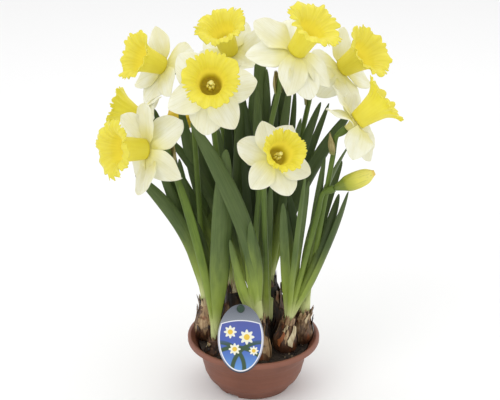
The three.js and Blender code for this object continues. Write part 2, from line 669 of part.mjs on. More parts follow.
// The label's own directions: up along it and out of its front
const labelUp = new THREE.Vector3(0, Math.sin(radians(LABEL_LEAN)), Math.cos(radians(LABEL_LEAN)));
const labelOut = new THREE.Vector3(0, -labelUp.z, labelUp.y);
const pegHole = vec(LABEL_CENTRE).addScaledVector(labelUp, LABEL_HOLE[1]);

function label() {
  const outline = new THREE.Shape();
  outline.absellipse(0, 0, LABEL_WIDTH / 2, LABEL_HEIGHT / 2, 0, 2 * Math.PI);
  const hole = new THREE.Path();
  hole.absarc(LABEL_HOLE[0], LABEL_HOLE[1], LABEL_HOLE_RADIUS, 0, 2 * Math.PI);
  outline.holes.push(hole);
  const options = { depth: LABEL_THICKNESS, bevelEnabled: false, curveSegments: LABEL_SEGMENTS };
  return new THREE.ExtrudeGeometry(outline, options).translate(0, 0, -LABEL_THICKNESS / 2);
}

// The upright part of the stake, from its point in the soil to just behind the label
function stakeRod(grow) {
  const foot = vec(STAKE_FOOT);
  const top = pegHole.clone().addScaledVector(labelOut, -STAKE_RADIUS - STAKE_CLEARANCE);
  const shares = [0, 0.06, 0.97, 1];
  const radii = [0.9, STAKE_RADIUS, STAKE_RADIUS, STAKE_RADIUS * 0.7];
  return rod(shares.map((share) => foot.clone().lerp(top, share)), radii.map((r) => r + grow), 6);
}

// The peg goes forward through the label's hole and ends in a flat round head
function stake() {
  const at = (out) => pegHole.clone().addScaledVector(labelOut, out);
  const front = LABEL_THICKNESS / 2 + GAP;
  const pegRadius = LABEL_HOLE_RADIUS - 0.5;
  const peg = rod([at(-STAKE_RADIUS - 1.2), at(front + 0.8)], [pegRadius, pegRadius], 8);
  const headRadii = [PEG_HEAD_RADIUS, PEG_HEAD_RADIUS, 3];
  const head = rod([at(front), at(front + 1.2), at(front + 1.8)], headRadii, 10);
  return fuse([stakeRod(0), peg, head]);
}

// The whole plant

const finishes = {
  terracotta: { color: 0x96604a, roughness: 0.55 },
  peat: { color: 0x241e19, roughness: 0.95 },
  bulb: { color: 0x7a5636, roughness: 0.8 },
  leaf: { color: 0x4f6b41, roughness: 0.5 },
  petal: { color: 0xefeecb, roughness: 0.6 },
  trumpet: { color: 0xefd71f, roughness: 0.55 },
  paper: { color: 0xa98f5d, roughness: 0.85 },
  label: { color: 0x4a63b8, roughness: 0.3 },
  stake: { color: 0x1d4a2a, roughness: 0.45 },
};

function piece(name, geometry, finish) {
  const material = new THREE.MeshStandardMaterial({ ...finishes[finish], metalness: 0 });
  const mesh = new THREE.Mesh(geometry, material);
  mesh.name = name;
  return mesh;
}

// A group that stands at a flower's base and faces its way
function flowerGroup(bloom) {
  const { base, axis } = facing(bloom);
  const [upper, ahead] = squareTo(axis, UP);
  const group = new THREE.Group();
  group.position.copy(base);
  group.quaternion.setFromRotationMatrix(new THREE.Matrix4().makeBasis(ahead.negate(), upper, axis));
  return group;
}

const plant = new THREE.Group();
plant.name = "potted_daffodil";
plant.add(piece("bowl", bowl(), "terracotta"), piece("soil", soil(), "peat"));

for (const [name, bulb] of Object.entries(BULBS)) {
  plant.add(piece(`bulb_${name}`, bulbBody(bulb, 0, true), "bulb"));
  plant.add(piece(`tuft_${name}`, tuft(name), "leaf"));
}

Object.entries(BLOOMS).forEach(([name, bloom], k) => {
  const flower = flowerGroup(bloom);
  const sized = (geometry) => geometry.scale(bloom.size, bloom.size, bloom.size);
  flower.add(piece(`petals_${name}`, sized(perianth(bloom, k + 1)), "petal"));
  flower.add(piece(`trumpet_${name}`, sized(trumpet(bloom, k + 1)), "trumpet"));
  plant.add(flower, piece(`spathe_${name}`, spathe(bloom), "paper"));
});

const opening = flowerGroup(OPENING);
opening.add(piece("opening_bloom", bud(OPENING_LENGTH, OPENING_RADIUS), "trumpet"));
const closedBud = flowerGroup(BUD);
closedBud.add(piece("closed_bud", bud(BUD_LENGTH, BUD_RADIUS), "trumpet"));
plant.add(opening, closedBud);

const plate = piece("label", label(), "label");
plate.position.set(...LABEL_CENTRE);
plate.rotation.x = radians(90 - LABEL_LEAN);
plant.add(plate, piece("label_stake", stake(), "stake"));

export default plant;
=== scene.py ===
import json
from collections import namedtuple

import bpy
import numpy as np
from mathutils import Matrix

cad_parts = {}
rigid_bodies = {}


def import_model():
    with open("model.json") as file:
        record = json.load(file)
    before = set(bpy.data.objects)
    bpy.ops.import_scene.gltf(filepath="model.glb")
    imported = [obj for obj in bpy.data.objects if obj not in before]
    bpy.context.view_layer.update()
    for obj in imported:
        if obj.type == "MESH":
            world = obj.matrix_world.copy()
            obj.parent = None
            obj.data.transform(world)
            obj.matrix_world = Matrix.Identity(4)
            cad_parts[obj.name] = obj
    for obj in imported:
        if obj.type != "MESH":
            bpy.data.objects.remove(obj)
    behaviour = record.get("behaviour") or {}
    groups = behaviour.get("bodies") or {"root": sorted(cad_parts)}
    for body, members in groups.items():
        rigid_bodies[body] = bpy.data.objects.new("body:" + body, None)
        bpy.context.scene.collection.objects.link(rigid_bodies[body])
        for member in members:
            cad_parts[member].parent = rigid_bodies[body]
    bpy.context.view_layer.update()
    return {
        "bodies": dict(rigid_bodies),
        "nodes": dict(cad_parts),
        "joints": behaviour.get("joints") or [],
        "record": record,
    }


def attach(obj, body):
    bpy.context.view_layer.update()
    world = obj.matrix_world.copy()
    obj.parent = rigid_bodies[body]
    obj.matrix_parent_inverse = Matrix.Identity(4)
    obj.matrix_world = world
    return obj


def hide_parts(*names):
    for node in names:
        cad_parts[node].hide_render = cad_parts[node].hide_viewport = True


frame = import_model()

# The camera

camera = bpy.data.objects.new("camera", bpy.data.cameras.new("camera"))
camera.data.lens = 85
camera.data.sensor_width = 36
camera.location = (-0.0043, -1.2777, 0.7464)
camera.rotation_euler = (np.radians(68.4), 0, 0)
bpy.context.collection.objects.link(camera)
bpy.context.scene.camera = camera
bpy.context.scene.view_settings.view_transform = "Standard"

# Measures in millimetres, the same as those of the solids

MM = 0.001
GAP = 0.3

BASE_RADIUS = 45
WALL = 2
OUTER_WALL = [(60, 24), (64, 42), (72, 60)]
INNER_WALL = [(70, 60), (62, 42), (57.5, 24), (43, 2)]
NOTCH_ANGLES = (-125, -5, 115)
NOTCH_WIDTH = 16
NOTCH_DEPTH = 3.5
NOTCH_HEIGHT = 4
DRAIN_RADIUS = 3.5
DRAIN_CIRCLE = 28
DRAIN_COUNT = 5
DRAIN_SIDES = 32
BOWL_SIDES = 180
BOWL_STEP = 2
WALL_RINGS = (22, 33.5, 45)
WALL_RING_WIDTH = 1.1
WALL_RING_RISE = 0.35

SOIL_HEIGHT = 56.5
SOIL_RADIUS = 66.5
SOIL_SIDES = 160
SOIL_ROWS = 50
CRUMBS = 620
CRUMB_REACH = 65

# Each bulb: foot and top of its axis, greatest radius, neck's radius, and how brown it is
Bulb = namedtuple("Bulb", "foot top radius neck tone")
BULBS = {
    "left": Bulb((-53, 9, 50), (-58, 12, 106), 16.5, 8.5, 0.1),
    "front_left": Bulb((-43, -25, 38), (-46, -25, 76), 14, 7, 0.8),
    "front": Bulb((3, -37, 34), (4, -41, 108), 17.5, 9, 0.15),
    "middle": Bulb((12, 0, 36), (17, 3, 86), 12, 8, 0.95),
    "back_left": Bulb((-23, 30, 38), (-26, 32, 116), 16, 9.5, 0.9),
    "back_right": Bulb((36, 31, 40), (18, 32, 122), 19, 9.5, 0.95),
    "right": Bulb((36, -24.5, 52), (42, -22, 97), 14.2, 7.5, 0.6),
    "far_right": Bulb((56, -0.5, 52), (61, -6, 101), 14, 9, 0.5),
}
# Further torn strips round a bulb's neck: the turn, from the right towards the back, how tall it
# stands, and how much darker than the bulb it is
SHREDS = {
    "left": ((190, 8, 0.8), (215, 6, 0.9), (170, 10, 0.3), (240, 7, 0.5)),
    "back_left": ((-120, 13, -1.1), (-100, 16, -1.1), (-80, 12, -1.2), (-60, 15, -1.1), (-140, 10, -0.2),
                  (-40, 10, 0.1), (180, 12, 0.1)),
    "back_right": ((0, 19, 0.1), (-15, 13, 0.1), (20, 14, 0.1), (-40, 9, 0.1), (-70, 8, -0.4)),
    "far_right": ((-130, 7, -0.5), (-100, 6, -0.9), (-70, 8, -0.4), (-40, 7, 0.1), (-10, 6, 0.1),
                  (-85, 5, -0.8)),
    "front": ((-150, 17, -1.5), (-120, 5, 0.4), (-80, 6, 0.5), (-50, 4, 0.6)),
}
# Torn flakes on a bulb's side: turn, share up the bulb, width, height, lift of its top, and tone
FLAKES = {
    "left": ((-150, 0.3, 16, 16, 0.6, 0.8), (-100, 0.35, 12, 16, 0.6, 0.75), (-175, 0.8, 8, 12, 1, 0.4)),
    "front_left": ((-175, 0.5, 16, 14, 1, 0.9), (-160, 0.72, 12, 6, 1.5, -0.4), (-130, 0.45, 16, 14, 1, 0.8),
                   (-100, 0.6, 9, 14, 0.8, 0.9)),
    "front": ((-35, 0.82, 9, 14, 1, 0.95), (-5, 0.75, 10, 18, 1, 0.95), (-60, 0.9, 7, 9, 1, 0.85)),
    "back_left": ((-130, 0.62, 9, 13, 1, 0.45), (-60, 0.7, 14, 18, 2, 0.95)),
    "back_right": ((-25, 0.72, 16, 22, 3, 0.9), (-55, 0.7, 14, 20, 2.5, 0.7), (5, 0.66, 15, 24, 3, 0.9),
                   (-40, 0.82, 8, 12, 3, 0.3), (-70, 0.78, 9, 14, 2.5, 0.4), (-15, 0.85, 10, 10, 3.5, 0.5)),
    "right": ((-70, 0.62, 17, 19, 1.8, -0.4), (-116, 0.8, 8, 8, 1.2, -0.3), (-128, 0.52, 12, 14, 1, 1.5),
              (-104, 0.6, 5, 18, 2, 0.2)),
    "far_right": ((-128, 0.9, 8, 12, 1.5, -0.1), (-105, 0.93, 7, 11, 2, 0.1), (-80, 0.9, 8, 12, 1.5, -0.15),
                  (-55, 0.93, 7, 10, 2, 0.15), (-20, 0.6, 12, 26, 1.5, 0.9), (-75, 0.5, 14, 20, 0.8, 0.55)),
    "middle": ((-60, 0.6, 11, 18, 2, 0.95), (-110, 0.7, 10, 16, 2, 0.95), (-20, 0.7, 12, 20, 2.5, 0.9)),
}
BULB_ROWS = 44
BULB_SIDES = 96
BULB_STATIONS = (0, 0.16, 0.42, 0.7, 1)
BULB_WIDTHS = (0.42, 0.84, 1, 0.7)
SOCKET_WALL = 1.3
SOCKET_DEPTH = 12
LOOSE_SKINS = 5
LOOSE_ROWS = 18
LOOSE_COLUMNS = 22
NECK_SHREDS = 14
SHRED_ROWS = 9
SHRED_COLUMNS = 5
FLAKE_ROWS = 15
FLAKE_COLUMNS = 11
SKIN_THICKNESS = 0.4
SHEATH_ROWS = 26
SHEATH_SIDES = 48
SHEATH_HEIGHT = 26
SHEATH_TAPER = 0.72
ROOT_DEPTH = 3
ROOT_SPREAD = 0.4

# Each leaf: tip, bow of its middle, width, azimuth of its face, twist, and its green,
# from 0, dark, through 0.5, blue-grey, to 1, fresh; the dark end is partly the leaf's own green and
# partly painted shade for blades deep in the thicket
LEAVES = {
    "left": [
        ((-136, -8, 275), (33, 0, 16), 17, -110, 50, 0.5),
        ((-86, 4, 290), (-4, 0, 10), 11, -80, 10, 0.35),
        ((-116, 45, 337), (0, -4, 20), 13, 110, -10, 0.3),
    ],
    "front_left": [
        ((-31, -44, 318), (2, -3, 10), 24, -95, 25, 0.6),
        ((-93, -22, 291), (10, -9, 20), 11, -110, 15, 0.9),
        ((-74, -12, 230), (14, 1, 30), 8, -90, 10, 0.3),
    ],
    "front": [
        ((-27, -24, 259), (4, 0, 0), 9, -95, 10, 0.3),
        ((-27, -48, 211), (-6, -2, 0), 9, -85, 10, 0.5),
        ((-8, -46, 205), (-5, -5, 8), 7, -85, 10, 0.75),
        ((-69, -46, 350), (50, -14, -20), 21, -40, -52, 0.38),
        ((-4, -56, 236), (-2, 0, 0), 11, -100, 10, 0.6),
    ],
    "middle": [
        ((3, 6, 372), (0, 0, 0), 14, -92, 12, 0.4),
        ((-9, 14, 352), (0, 0, 0), 13, -100, 15, 0.15),
        ((20, -16, 268), (-4, -4, 0), 10, -90, 10, 0.55),
    ],
    "back_left": [
        ((-90, 12, 276), (2, 0, 5), 13, -80, 10, 0.45),
        ((-81, 14, 231), (0, -2, -2), 11, -85, 10, 0.35),
        ((-102, 26, 310), (34, 2, 22), 13, -90, 20, 0.35),
        ((-85, 26, 349), (-13, 2, 4), 15, -85, 10, 0.4),
        ((-47, 12, 341), (10, 0, 0), 15, -80, 10, 0.3),
        ((-12, 30, 358), (4, 0, 0), 19, -95, 15, 0.3),
        ((-22, 58, 336), (0, -6, 0), 14, 90, 30, 0.2),
        ((-78, 76, 300), (14, -14, 22), 14, 110, 10, 0.3),
    ],
    "back_right": [
        ((15, 42, 386), (0, 0, 0), 12, -90, 20, 0.3),
        ((42, 20, 378), (-6, 0, 0), 12, -75, -20, 0.35),
        ((25, 30, 362), (-4, 0, 0), 14, -100, 10, 0.15),
        ((54, 10, 337), (-4, 0, 0), 11, -90, 20, 0.35),
        ((77, 24, 352), (-14, 0, 0), 13, -100, 10, 0.25),
        ((88, 46, 344), (-8, 0, 0), 10, 80, 20, 0.3),
        ((34, 88, 318), (0, -16, 10), 15, 90, 20, 0.35),
        ((113, 22, 343), (-32, 0, 0), 17, -95, 5, 0.3),
    ],
    "right": [
        ((33, -44, 254), (-2, -6, 8), 11, -90, 15, 0.55),
        ((56, -80, 303), (-4, -6, -10), 7, -80, 20, 0.7),
        ((62, -34, 277), (-2, 0, 0), 9, -100, 15, 0.5),
        ((39, -6, 255), (19, 4, 8), 10, -95, 10, 0.15),
        ((109, -10, 255), (5, -23, -7), 11, -60, 10, 0.3),
        ((99, -2, 249), (4, -30, -1), 12, -100, 10, 0.25),
    ],
    "far_right": [
        ((110, 4, 308), (-34, 0, 0), 11, -70, 30, 0.45),
        ((82, 2, 294), (-4, 0, 0), 10, -90, 20, 0.45),
        ((104, 30, 278), (-12, 0, 6), 12, 60, 20, 0.3),
    ],
}
# Further blades that only fill gaps in the thicket, told the same way; their dark greens are partly
# painted shade
MORE_LEAVES = {
    "left": [((-109, 10, 274), (5, -2, 16), 13, -90, 15, 0.42)],
    "middle": [
        ((-11, 0, 302), (-14, 3, 27), 9, -95, 10, 0.12),
        ((-24, 12, 208), (-16, 1, 16), 10, -90, 15, 0.15),
        ((-2, 30, 367), (-7, 7, 38), 15, -80, 10, 0.3),
    ],
    "back_left": [
        ((-54, 30, 222), (-23, -2, -11), 10, -90, 10, 0.15),
        ((-31, 40, 342), (1, 0, 20), 12, -90, 10, 0.12),
    ],
    "back_right": [
        ((6, 44, 413), (0, 4, 42), 20, -90, 15, 0.5),
        ((35, 50, 388), (7, 2, 65), 15, -90, 15, 0.15),
        ((48, 46, 360), (13, 2, 44), 8, -95, 10, 0.25),
    ],
    "right": [((35, -10, 238), (11, 4, 18), 8, -90, 10, 0.2)],
    "front": [((-20, -38, 188), (-12, -1, -6), 10, -90, 10, 0.5)],
}
LEAF_ROWS = 60
LEAF_COLUMNS = 11
LEAF_THICKNESS = 1.2
STEM_TONE = 0.85

STEM_RADIUS = 3.3
STEM_TOP_RADIUS = 2.6
STEM_SIDES = 18
STEM_ROWS = 34
BEND_ROWS = 18
POD_ROWS = 14
POD_RADIUS = 4.4
POD_LENGTH = 12
NECK_LENGTH = 15
NECK_STATIONS = (-15, -9, -5, -2.5, 0)
NECK_RADII = (3.4, 4.2, 6, 7.6, 7.8)
NECK_ROWS = 18
NECK_SIDES = 30
BEND_DROP = 20

# Each open bloom: its bulb, the centre of its petals, azimuth and elevation that it faces, size,
# bow of its stem, how far behind the pod the stem's corner lies, and each petal's angle, its
# sweep forward and, where it has one, its roll about its own length
Bloom = namedtuple("Bloom", "bulb place azimuth elevation size bow corner petals")
BLOOMS = {
    "a": Bloom("left", (-102, 0, 401.5), -150, 26, 0.94, 0, 13,
               ((40, -4), (122, 27), (175, -10), (225, 16), (275, 18), (330, 0))),
    "b": Bloom("back_left", (-46, -70, 396), -88, 29, 1, 0, 13,
               ((8, 4), (75, -40), (133, 12), (205, -3), (262, -11), (300, -9))),
    "c": Bloom("back_left", (-27.5, 34, 409), -116, 57, 0.94, 0, 13,
               ((35, 26), (90, 4), (150, -5), (215, 0), (285, 30), (330, 14))),
    "d": Bloom("front", (46, -30, 426), -42, 53, 1, -22, 13,
               ((50, 4), (112, 0, -28), (152, -25), (226, -25), (257, -18), (300, -20))),
    "e": Bloom("back_right", (103, 44, 387), -33, 36, 1, 0, 26,
               ((15, 4), (66, 30), (148, -4), (200, -44), (250, 10), (322, 0))),
    "f": Bloom("far_right", (113, -38, 349), 2, 38, 0.95, 0, 3,
               ((15, 30), (80, 5), (125, -20, 25), (219, -45, 46), (266, -15, 35), (292, -5, 28))),
    "g": Bloom("middle", (22, -80, 320), -69, 33, 0.86, 0, 13,
               ((52, 8), (98, 6), (147, 0), (222, -2), (284, 6), (328, 8))),
    "h": Bloom("front_left", (-121, -40, 317), -145, 11, 1.07, 12, 4,
               ((58, -32), (92, 15), (145, 26), (245, -18), (287, 22), (334, -32))),
    "i": Bloom("left", (-134, 50, 327), 172, 20, 0.76, 0, 13,
               ((30, -34), (88, -36), (150, -20), (212, 0), (270, -4), (330, -30))),
}
OPENING = Bloom("back_left", (-76.5, 80, 315), 175, 5, 1, 0, 13, ())
BUD = Bloom("right", (104, -42, 277), -6, 25, 1, 0, 4, ())

PETAL_LENGTH = 50
LONG_PETALS = {"d": 1.12}
OUTER_PETAL_WIDTH = 41
INNER_PETAL_WIDTH = 35
PETAL_ROOT = 5
PETAL_FLAT = 14
PETAL_ROWS = 33
PETAL_COLUMNS = 25
PETAL_THICKNESS = 0.8
ROLL_START = 0.1
ROLL_END = 0.5
CREASES = 4
INNER_LAYER = -1.5
OUTER_LAYER = -3.4

# Each trumpet: how flat its mouth opens, from 0, a funnel, to 1; how far its rim rolls back; and
# its mouth's width and its length against the usual
TRUMPETS = {
    "a": (0.6, 0.5, 0.95, 1),
    "b": (0.8, 1, 0.96, 1),
    "c": (1, 2, 0.98, 1.1),
    "d": (1, 2, 1.03, 1.08),
    "e": (0.6, 1, 1.04, 1.08),
    "f": (0.55, 0, 1, 1.03),
    "g": (0.55, 0, 0.88, 1),
    "h": (1, 3, 0.98, 1),
    "i": (0, 0, 1.05, 1.05),
}
FLARE_STATIONS = (0, 0.2, 0.43, 0.65, 0.82, 0.94, 1)
FLAT_RADII = (11, 12, 13.3, 16.4, 23.5, 30, 33)
FLAT_HEIGHTS = (0, 10.5, 22.5, 33, 38.7, 40.6, 41)
FUNNEL_RADII = (10.6, 13.5, 17.5, 21.5, 26, 29.7, 31.5)
FUNNEL_HEIGHTS = (0, 9, 19, 28.5, 35.5, 40, 42)
TRUMPET_PATH = 48
TRUMPET_WALL = 1.0
TRUMPET_PLEATS = 13
TRUMPET_TEETH = 27
DEEP_TEETH = 4
TRUMPET_SIDES = 270
TRUMPET_ROWS = 26
STYLE_LENGTH = 24
STAMENS = 6
STAMEN_ROWS = 16
STAMEN_SIDES = 12

BUD_ROWS = 50
BUD_SIDES = 90
BUD_LENGTH = 34
BUD_RADIUS = 9.4
OPENING_LENGTH = 27
OPENING_RADIUS = 13
BUD_STATIONS = (-1, -0.47, 0.1, 0.42, 0.75, 0.97)
BUD_WIDTHS = (0.3, 0.62, 0.96, 1, 0.8, 0.3)

SPATHE_ROWS = 34
SPATHE_COLUMNS = 25
SPATHE_THICKNESS = 0.45
SPATHE_LENGTH = 25
SPATHE_STATIONS = (0, 0.4, 1)
SPATHE_RADII = (4.35, 5.7, 1.6)
SPATHE_DRIFT = 5
SPATHE_WRAP = 200

LABEL_ROWS = 18
LABEL_SIDES = 200
LABEL_WIDTH = 53
LABEL_HEIGHT = 80
LABEL_THICKNESS = 1
LABEL_CENTRE = np.array([-15, -71.8, 97])
LABEL_LEAN = np.radians(17.5)
LABEL_HOLE_HEIGHT = 35
LABEL_HOLE_RADIUS = 3
STAKE_RADIUS = 2.4
STAKE_FOOT = np.array([-17, -50, 26])
STAKE_CLEARANCE = 1.6
STAKE_SIDES = 28
PEG_HEAD_RADIUS = 4.6
PEG_SIDES = 40

UP = np.array([0.0, 0.0, 1.0])
GUIDE = np.array([1.0, 0.2, 0.0])


# Small sums that the shapes share

def circle(sides):
    """Even turns once round."""
    return np.linspace(0, 2 * np.pi, sides, endpoint=False)


def polar(radius, turn, height):
    """Points round the upright axis: radius times cosine, radius times sine, and the height."""
    return np.stack(np.broadcast_arrays(radius * np.cos(turn), radius * np.sin(turn), height), axis=-1)


def steps(rows, columns, start=0):
    """Even steps up a grid, from start to 1, and across it, from -1 to 1."""
    return np.linspace(start, 1, rows)[:, None], np.linspace(-1, 1, columns)[None, :]


def bunched(rows, power):
    """Shares from 0 to 1, closer together towards 1: 1 less a power of an even fall from 1."""
    return 1 - (1 - np.linspace(0, 1, rows)) ** power


def chance(n):
    """A repeatable number from 0 to 1: the fraction of a large multiple of a sine."""
    wave = np.sin(np.asarray(n) * 127.1 + 11.7) * 43758.5453
    return wave - np.floor(wave)


def unit(vectors):
    """Each vector over its own length."""
    return vectors / np.maximum(np.linalg.norm(vectors, axis=-1, keepdims=True), 1e-9)


def square_to(direction, guide):
    """Two directions square to a line: the guide less its part along the line, and the cross of the
    line and that."""
    first = unit(guide - direction * np.sum(guide * direction, axis=-1, keepdims=True))
    return first, np.cross(direction, first)


def smoothstep(value, low, high):
    """0 below low, 1 above high, and 3 t squared less 2 t cubed between."""
    t = np.clip((value - low) / (high - low), 0, 1)
    return t * t * (3 - 2 * t)


def spline(x, stations, values):
    """A cubic through the stations whose slopes there are those of their neighbours' chord."""
    stations = np.asarray(stations, float)
    values = np.asarray(values, float)
    slopes = np.gradient(values, stations)
    k = np.clip(np.searchsorted(stations, x) - 1, 0, len(stations) - 2)
    span = stations[k + 1] - stations[k]
    t = np.clip((x - stations[k]) / span, 0, 1)
    start = (1 + 2 * t) * (1 - t) ** 2 * values[k] + t * (1 - t) ** 2 * span * slopes[k]
    return start + t * t * (3 - 2 * t) * values[k + 1] - t * t * (1 - t) * span * slopes[k + 1]


def ripple(points, scale, seed, octaves=3):
    """A soft uneven field near -1 to 1: sine waves of that length in random directions, each
    octave half as long and half as strong as the one before."""
    rng = np.random.default_rng(seed)
    total = np.zeros(points.shape[:-1])
    for octave in range(octaves):
        directions = unit(rng.normal(size=(6, 3)))
        phases = rng.uniform(0, 2 * np.pi, 6)
        waves = np.sin(points @ directions.T * (2 * np.pi * 2 ** octave / scale) + phases)
        total = total + waves.sum(axis=-1) / (3 * 2 ** octave)
    return total


def bezier(root, pull, tip, share):
    """The quadratic curve's point and direction at each share."""
    t = share[:, None]
    points = (1 - t) ** 2 * root + 2 * t * (1 - t) * pull + t ** 2 * tip
    return points, unit((1 - t) * (pull - root) + t * (tip - pull))


# Meshes

def linked(name, data):
    """A new object in the scene."""
    made = bpy.data.objects.new(name, data)
    bpy.context.collection.objects.link(made)
    return made


def meshed(name, points, faces):
    """A new object with a new mesh."""
    mesh = bpy.data.meshes.new(name)
    mesh.from_pydata(points, [], faces)
    return linked(name, mesh)


def numbered(grid):
    """The number of each point of a grid in the list of its points."""
    return np.arange(grid.shape[0] * grid.shape[1]).reshape(grid.shape[:2])


def tube(rings):
    """Rings of points joined along their length, with each end closed by a fan to its middle."""
    index = numbered(rings)
    after = np.roll(index, -1, axis=1)
    quads = np.stack([index[:-1], after[:-1], after[1:], index[1:]], axis=-1).reshape(-1, 4)
    start = np.full(len(index[0]), index.size)
    fans = [np.stack([start, after[0], index[0]], axis=-1),
            np.stack([start + 1, index[-1], after[-1]], axis=-1)]
    return with_poles(rings), quads, np.concatenate(fans)


def with_poles(rings):
    """A tube's points or notes as one list, followed by the means of its first and last ring."""
    ends = np.stack([rings[0].mean(axis=0), rings[-1].mean(axis=0)])
    return np.concatenate([rings.reshape(-1, 3), ends])


def slab(front, back):
    """Two grids of points, one behind the other, joined round their edge."""
    index = numbered(front)
    cells = [index[:-1, :-1], index[1:, :-1], index[1:, 1:], index[:-1, 1:]]
    face = np.stack(cells, axis=-1).reshape(-1, 4)
    edge = np.concatenate([index[0], index[1:, -1], index[-1, -2::-1], index[-2:0:-1, 0]])
    after = np.roll(edge, -1)
    behind = index.size
    rim = np.stack([edge, after, after + behind, edge + behind], axis=-1)
    points = np.concatenate([front.reshape(-1, 3), back.reshape(-1, 3)])
    return points, np.concatenate([face, face[:, ::-1] + behind, rim]), np.empty((0, 3), int)


def thicken(middle, thickness):
    """A slab half the thickness to each side of a grid, along the cross of its two steps."""
    normal = unit(np.cross(np.gradient(middle, axis=0), np.gradient(middle, axis=1)))
    offset = normal * (np.broadcast_to(thickness, middle.shape[:2])[..., None] / 2)
    return slab(middle + offset, middle - offset)


def notes(across, along, tone):
    """Three numbers for each point of a grid, which the finishes read as place."""
    return np.stack(np.broadcast_arrays(across, along, tone), axis=-1).astype(float)


class Skin:
    """The closed forms of one piece. Each point keeps two notes: its place on its own form, and
    its point in its form's own directions."""

    def __init__(self):
        self.parts = []
        self.count = 0

    def add(self, form, place, own=None, frame=None):
        """Adds a form, moved into a frame where there is one, with its faces outwards, where the
        volume that they enclose is positive."""
        points, quads, triangles = form
        if frame is not None:
            points = frame[0] + points @ frame[1]
        place = self.match(place, points)
        own = points if own is None else self.match(own, points)
        pairs = [quads[:, [0, 1, 2]], quads[:, [0, 2, 3]], triangles]
        corners = points[np.concatenate(pairs)]
        if np.sum(corners[:, 0] * np.cross(corners[:, 1], corners[:, 2])) < 0:
            quads = quads[:, ::-1]
            triangles = triangles[:, ::-1]
        self.parts.append((points, quads + self.count, triangles + self.count, place, own))
        self.count += len(points)

    @staticmethod
    def match(grid, points):
        """Notes on a grid made one list as long as the form's points."""
        flat = grid.reshape(-1, 3)
        if len(points) == 2 * len(flat):
            return np.concatenate([flat, flat])
        return flat if len(points) == len(flat) else with_poles(grid)

    def joined(self, name):
        """A new object with all the forms, and their points' two notes."""
        points, quads, triangles, place, own = (
            np.concatenate([part[k] for part in self.parts]) for k in range(5))
        return meshed(name, points * MM, quads.tolist() + triangles.tolist()), place, own

    def piece(self, name, finish, nodes, crease=None):
        """All the forms as a piece that replaces its nodes on the one body."""
        made, place, own = self.joined(name)
        mesh = made.data
        for key, values in (("place", place), ("own", own * MM)):
            layer = mesh.attributes.new(key, "FLOAT_VECTOR", "POINT")
            layer.data.foreach_set("vector", values.astype(np.float32).ravel())
        mesh.polygons.foreach_set("use_smooth", np.ones(len(mesh.polygons), bool))
        if crease is not None:
            mesh.set_sharp_from_angle(angle=np.radians(crease))
        mesh.materials.append(finish)
        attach(made, "root")
        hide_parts(*nodes)
        return made


# Finishes

def shade(colour):
    """The light that a colour of the screen stands for, which is three numbers from 0 to 255.
    Anything else stays as it is."""
    if isinstance(colour, Wire) or len(colour) == 4:
        return colour
    parts = np.array(colour) / 255
    light = np.where(parts <= 0.04045, parts / 12.92, ((parts + 0.055) / 1.055) ** 2.4)
    return (*light.tolist(), 1)


class Wire:
    """One output in a finish: sums on it add Math nodes."""

    def __init__(self, finish, socket):
        self.finish = finish
        self.socket = socket

    def __add__(self, other):
        return self.finish.math("ADD", self, other)

    def __sub__(self, other):
        return self.finish.math("SUBTRACT", self, other)

    def __rsub__(self, other):
        return self.finish.math("SUBTRACT", other, self)

    def __mul__(self, other):
        return self.finish.math("MULTIPLY", self, other)

    def __pow__(self, other):
        return self.finish.math("POWER", self, other)

    __radd__ = __add__
    __rmul__ = __mul__


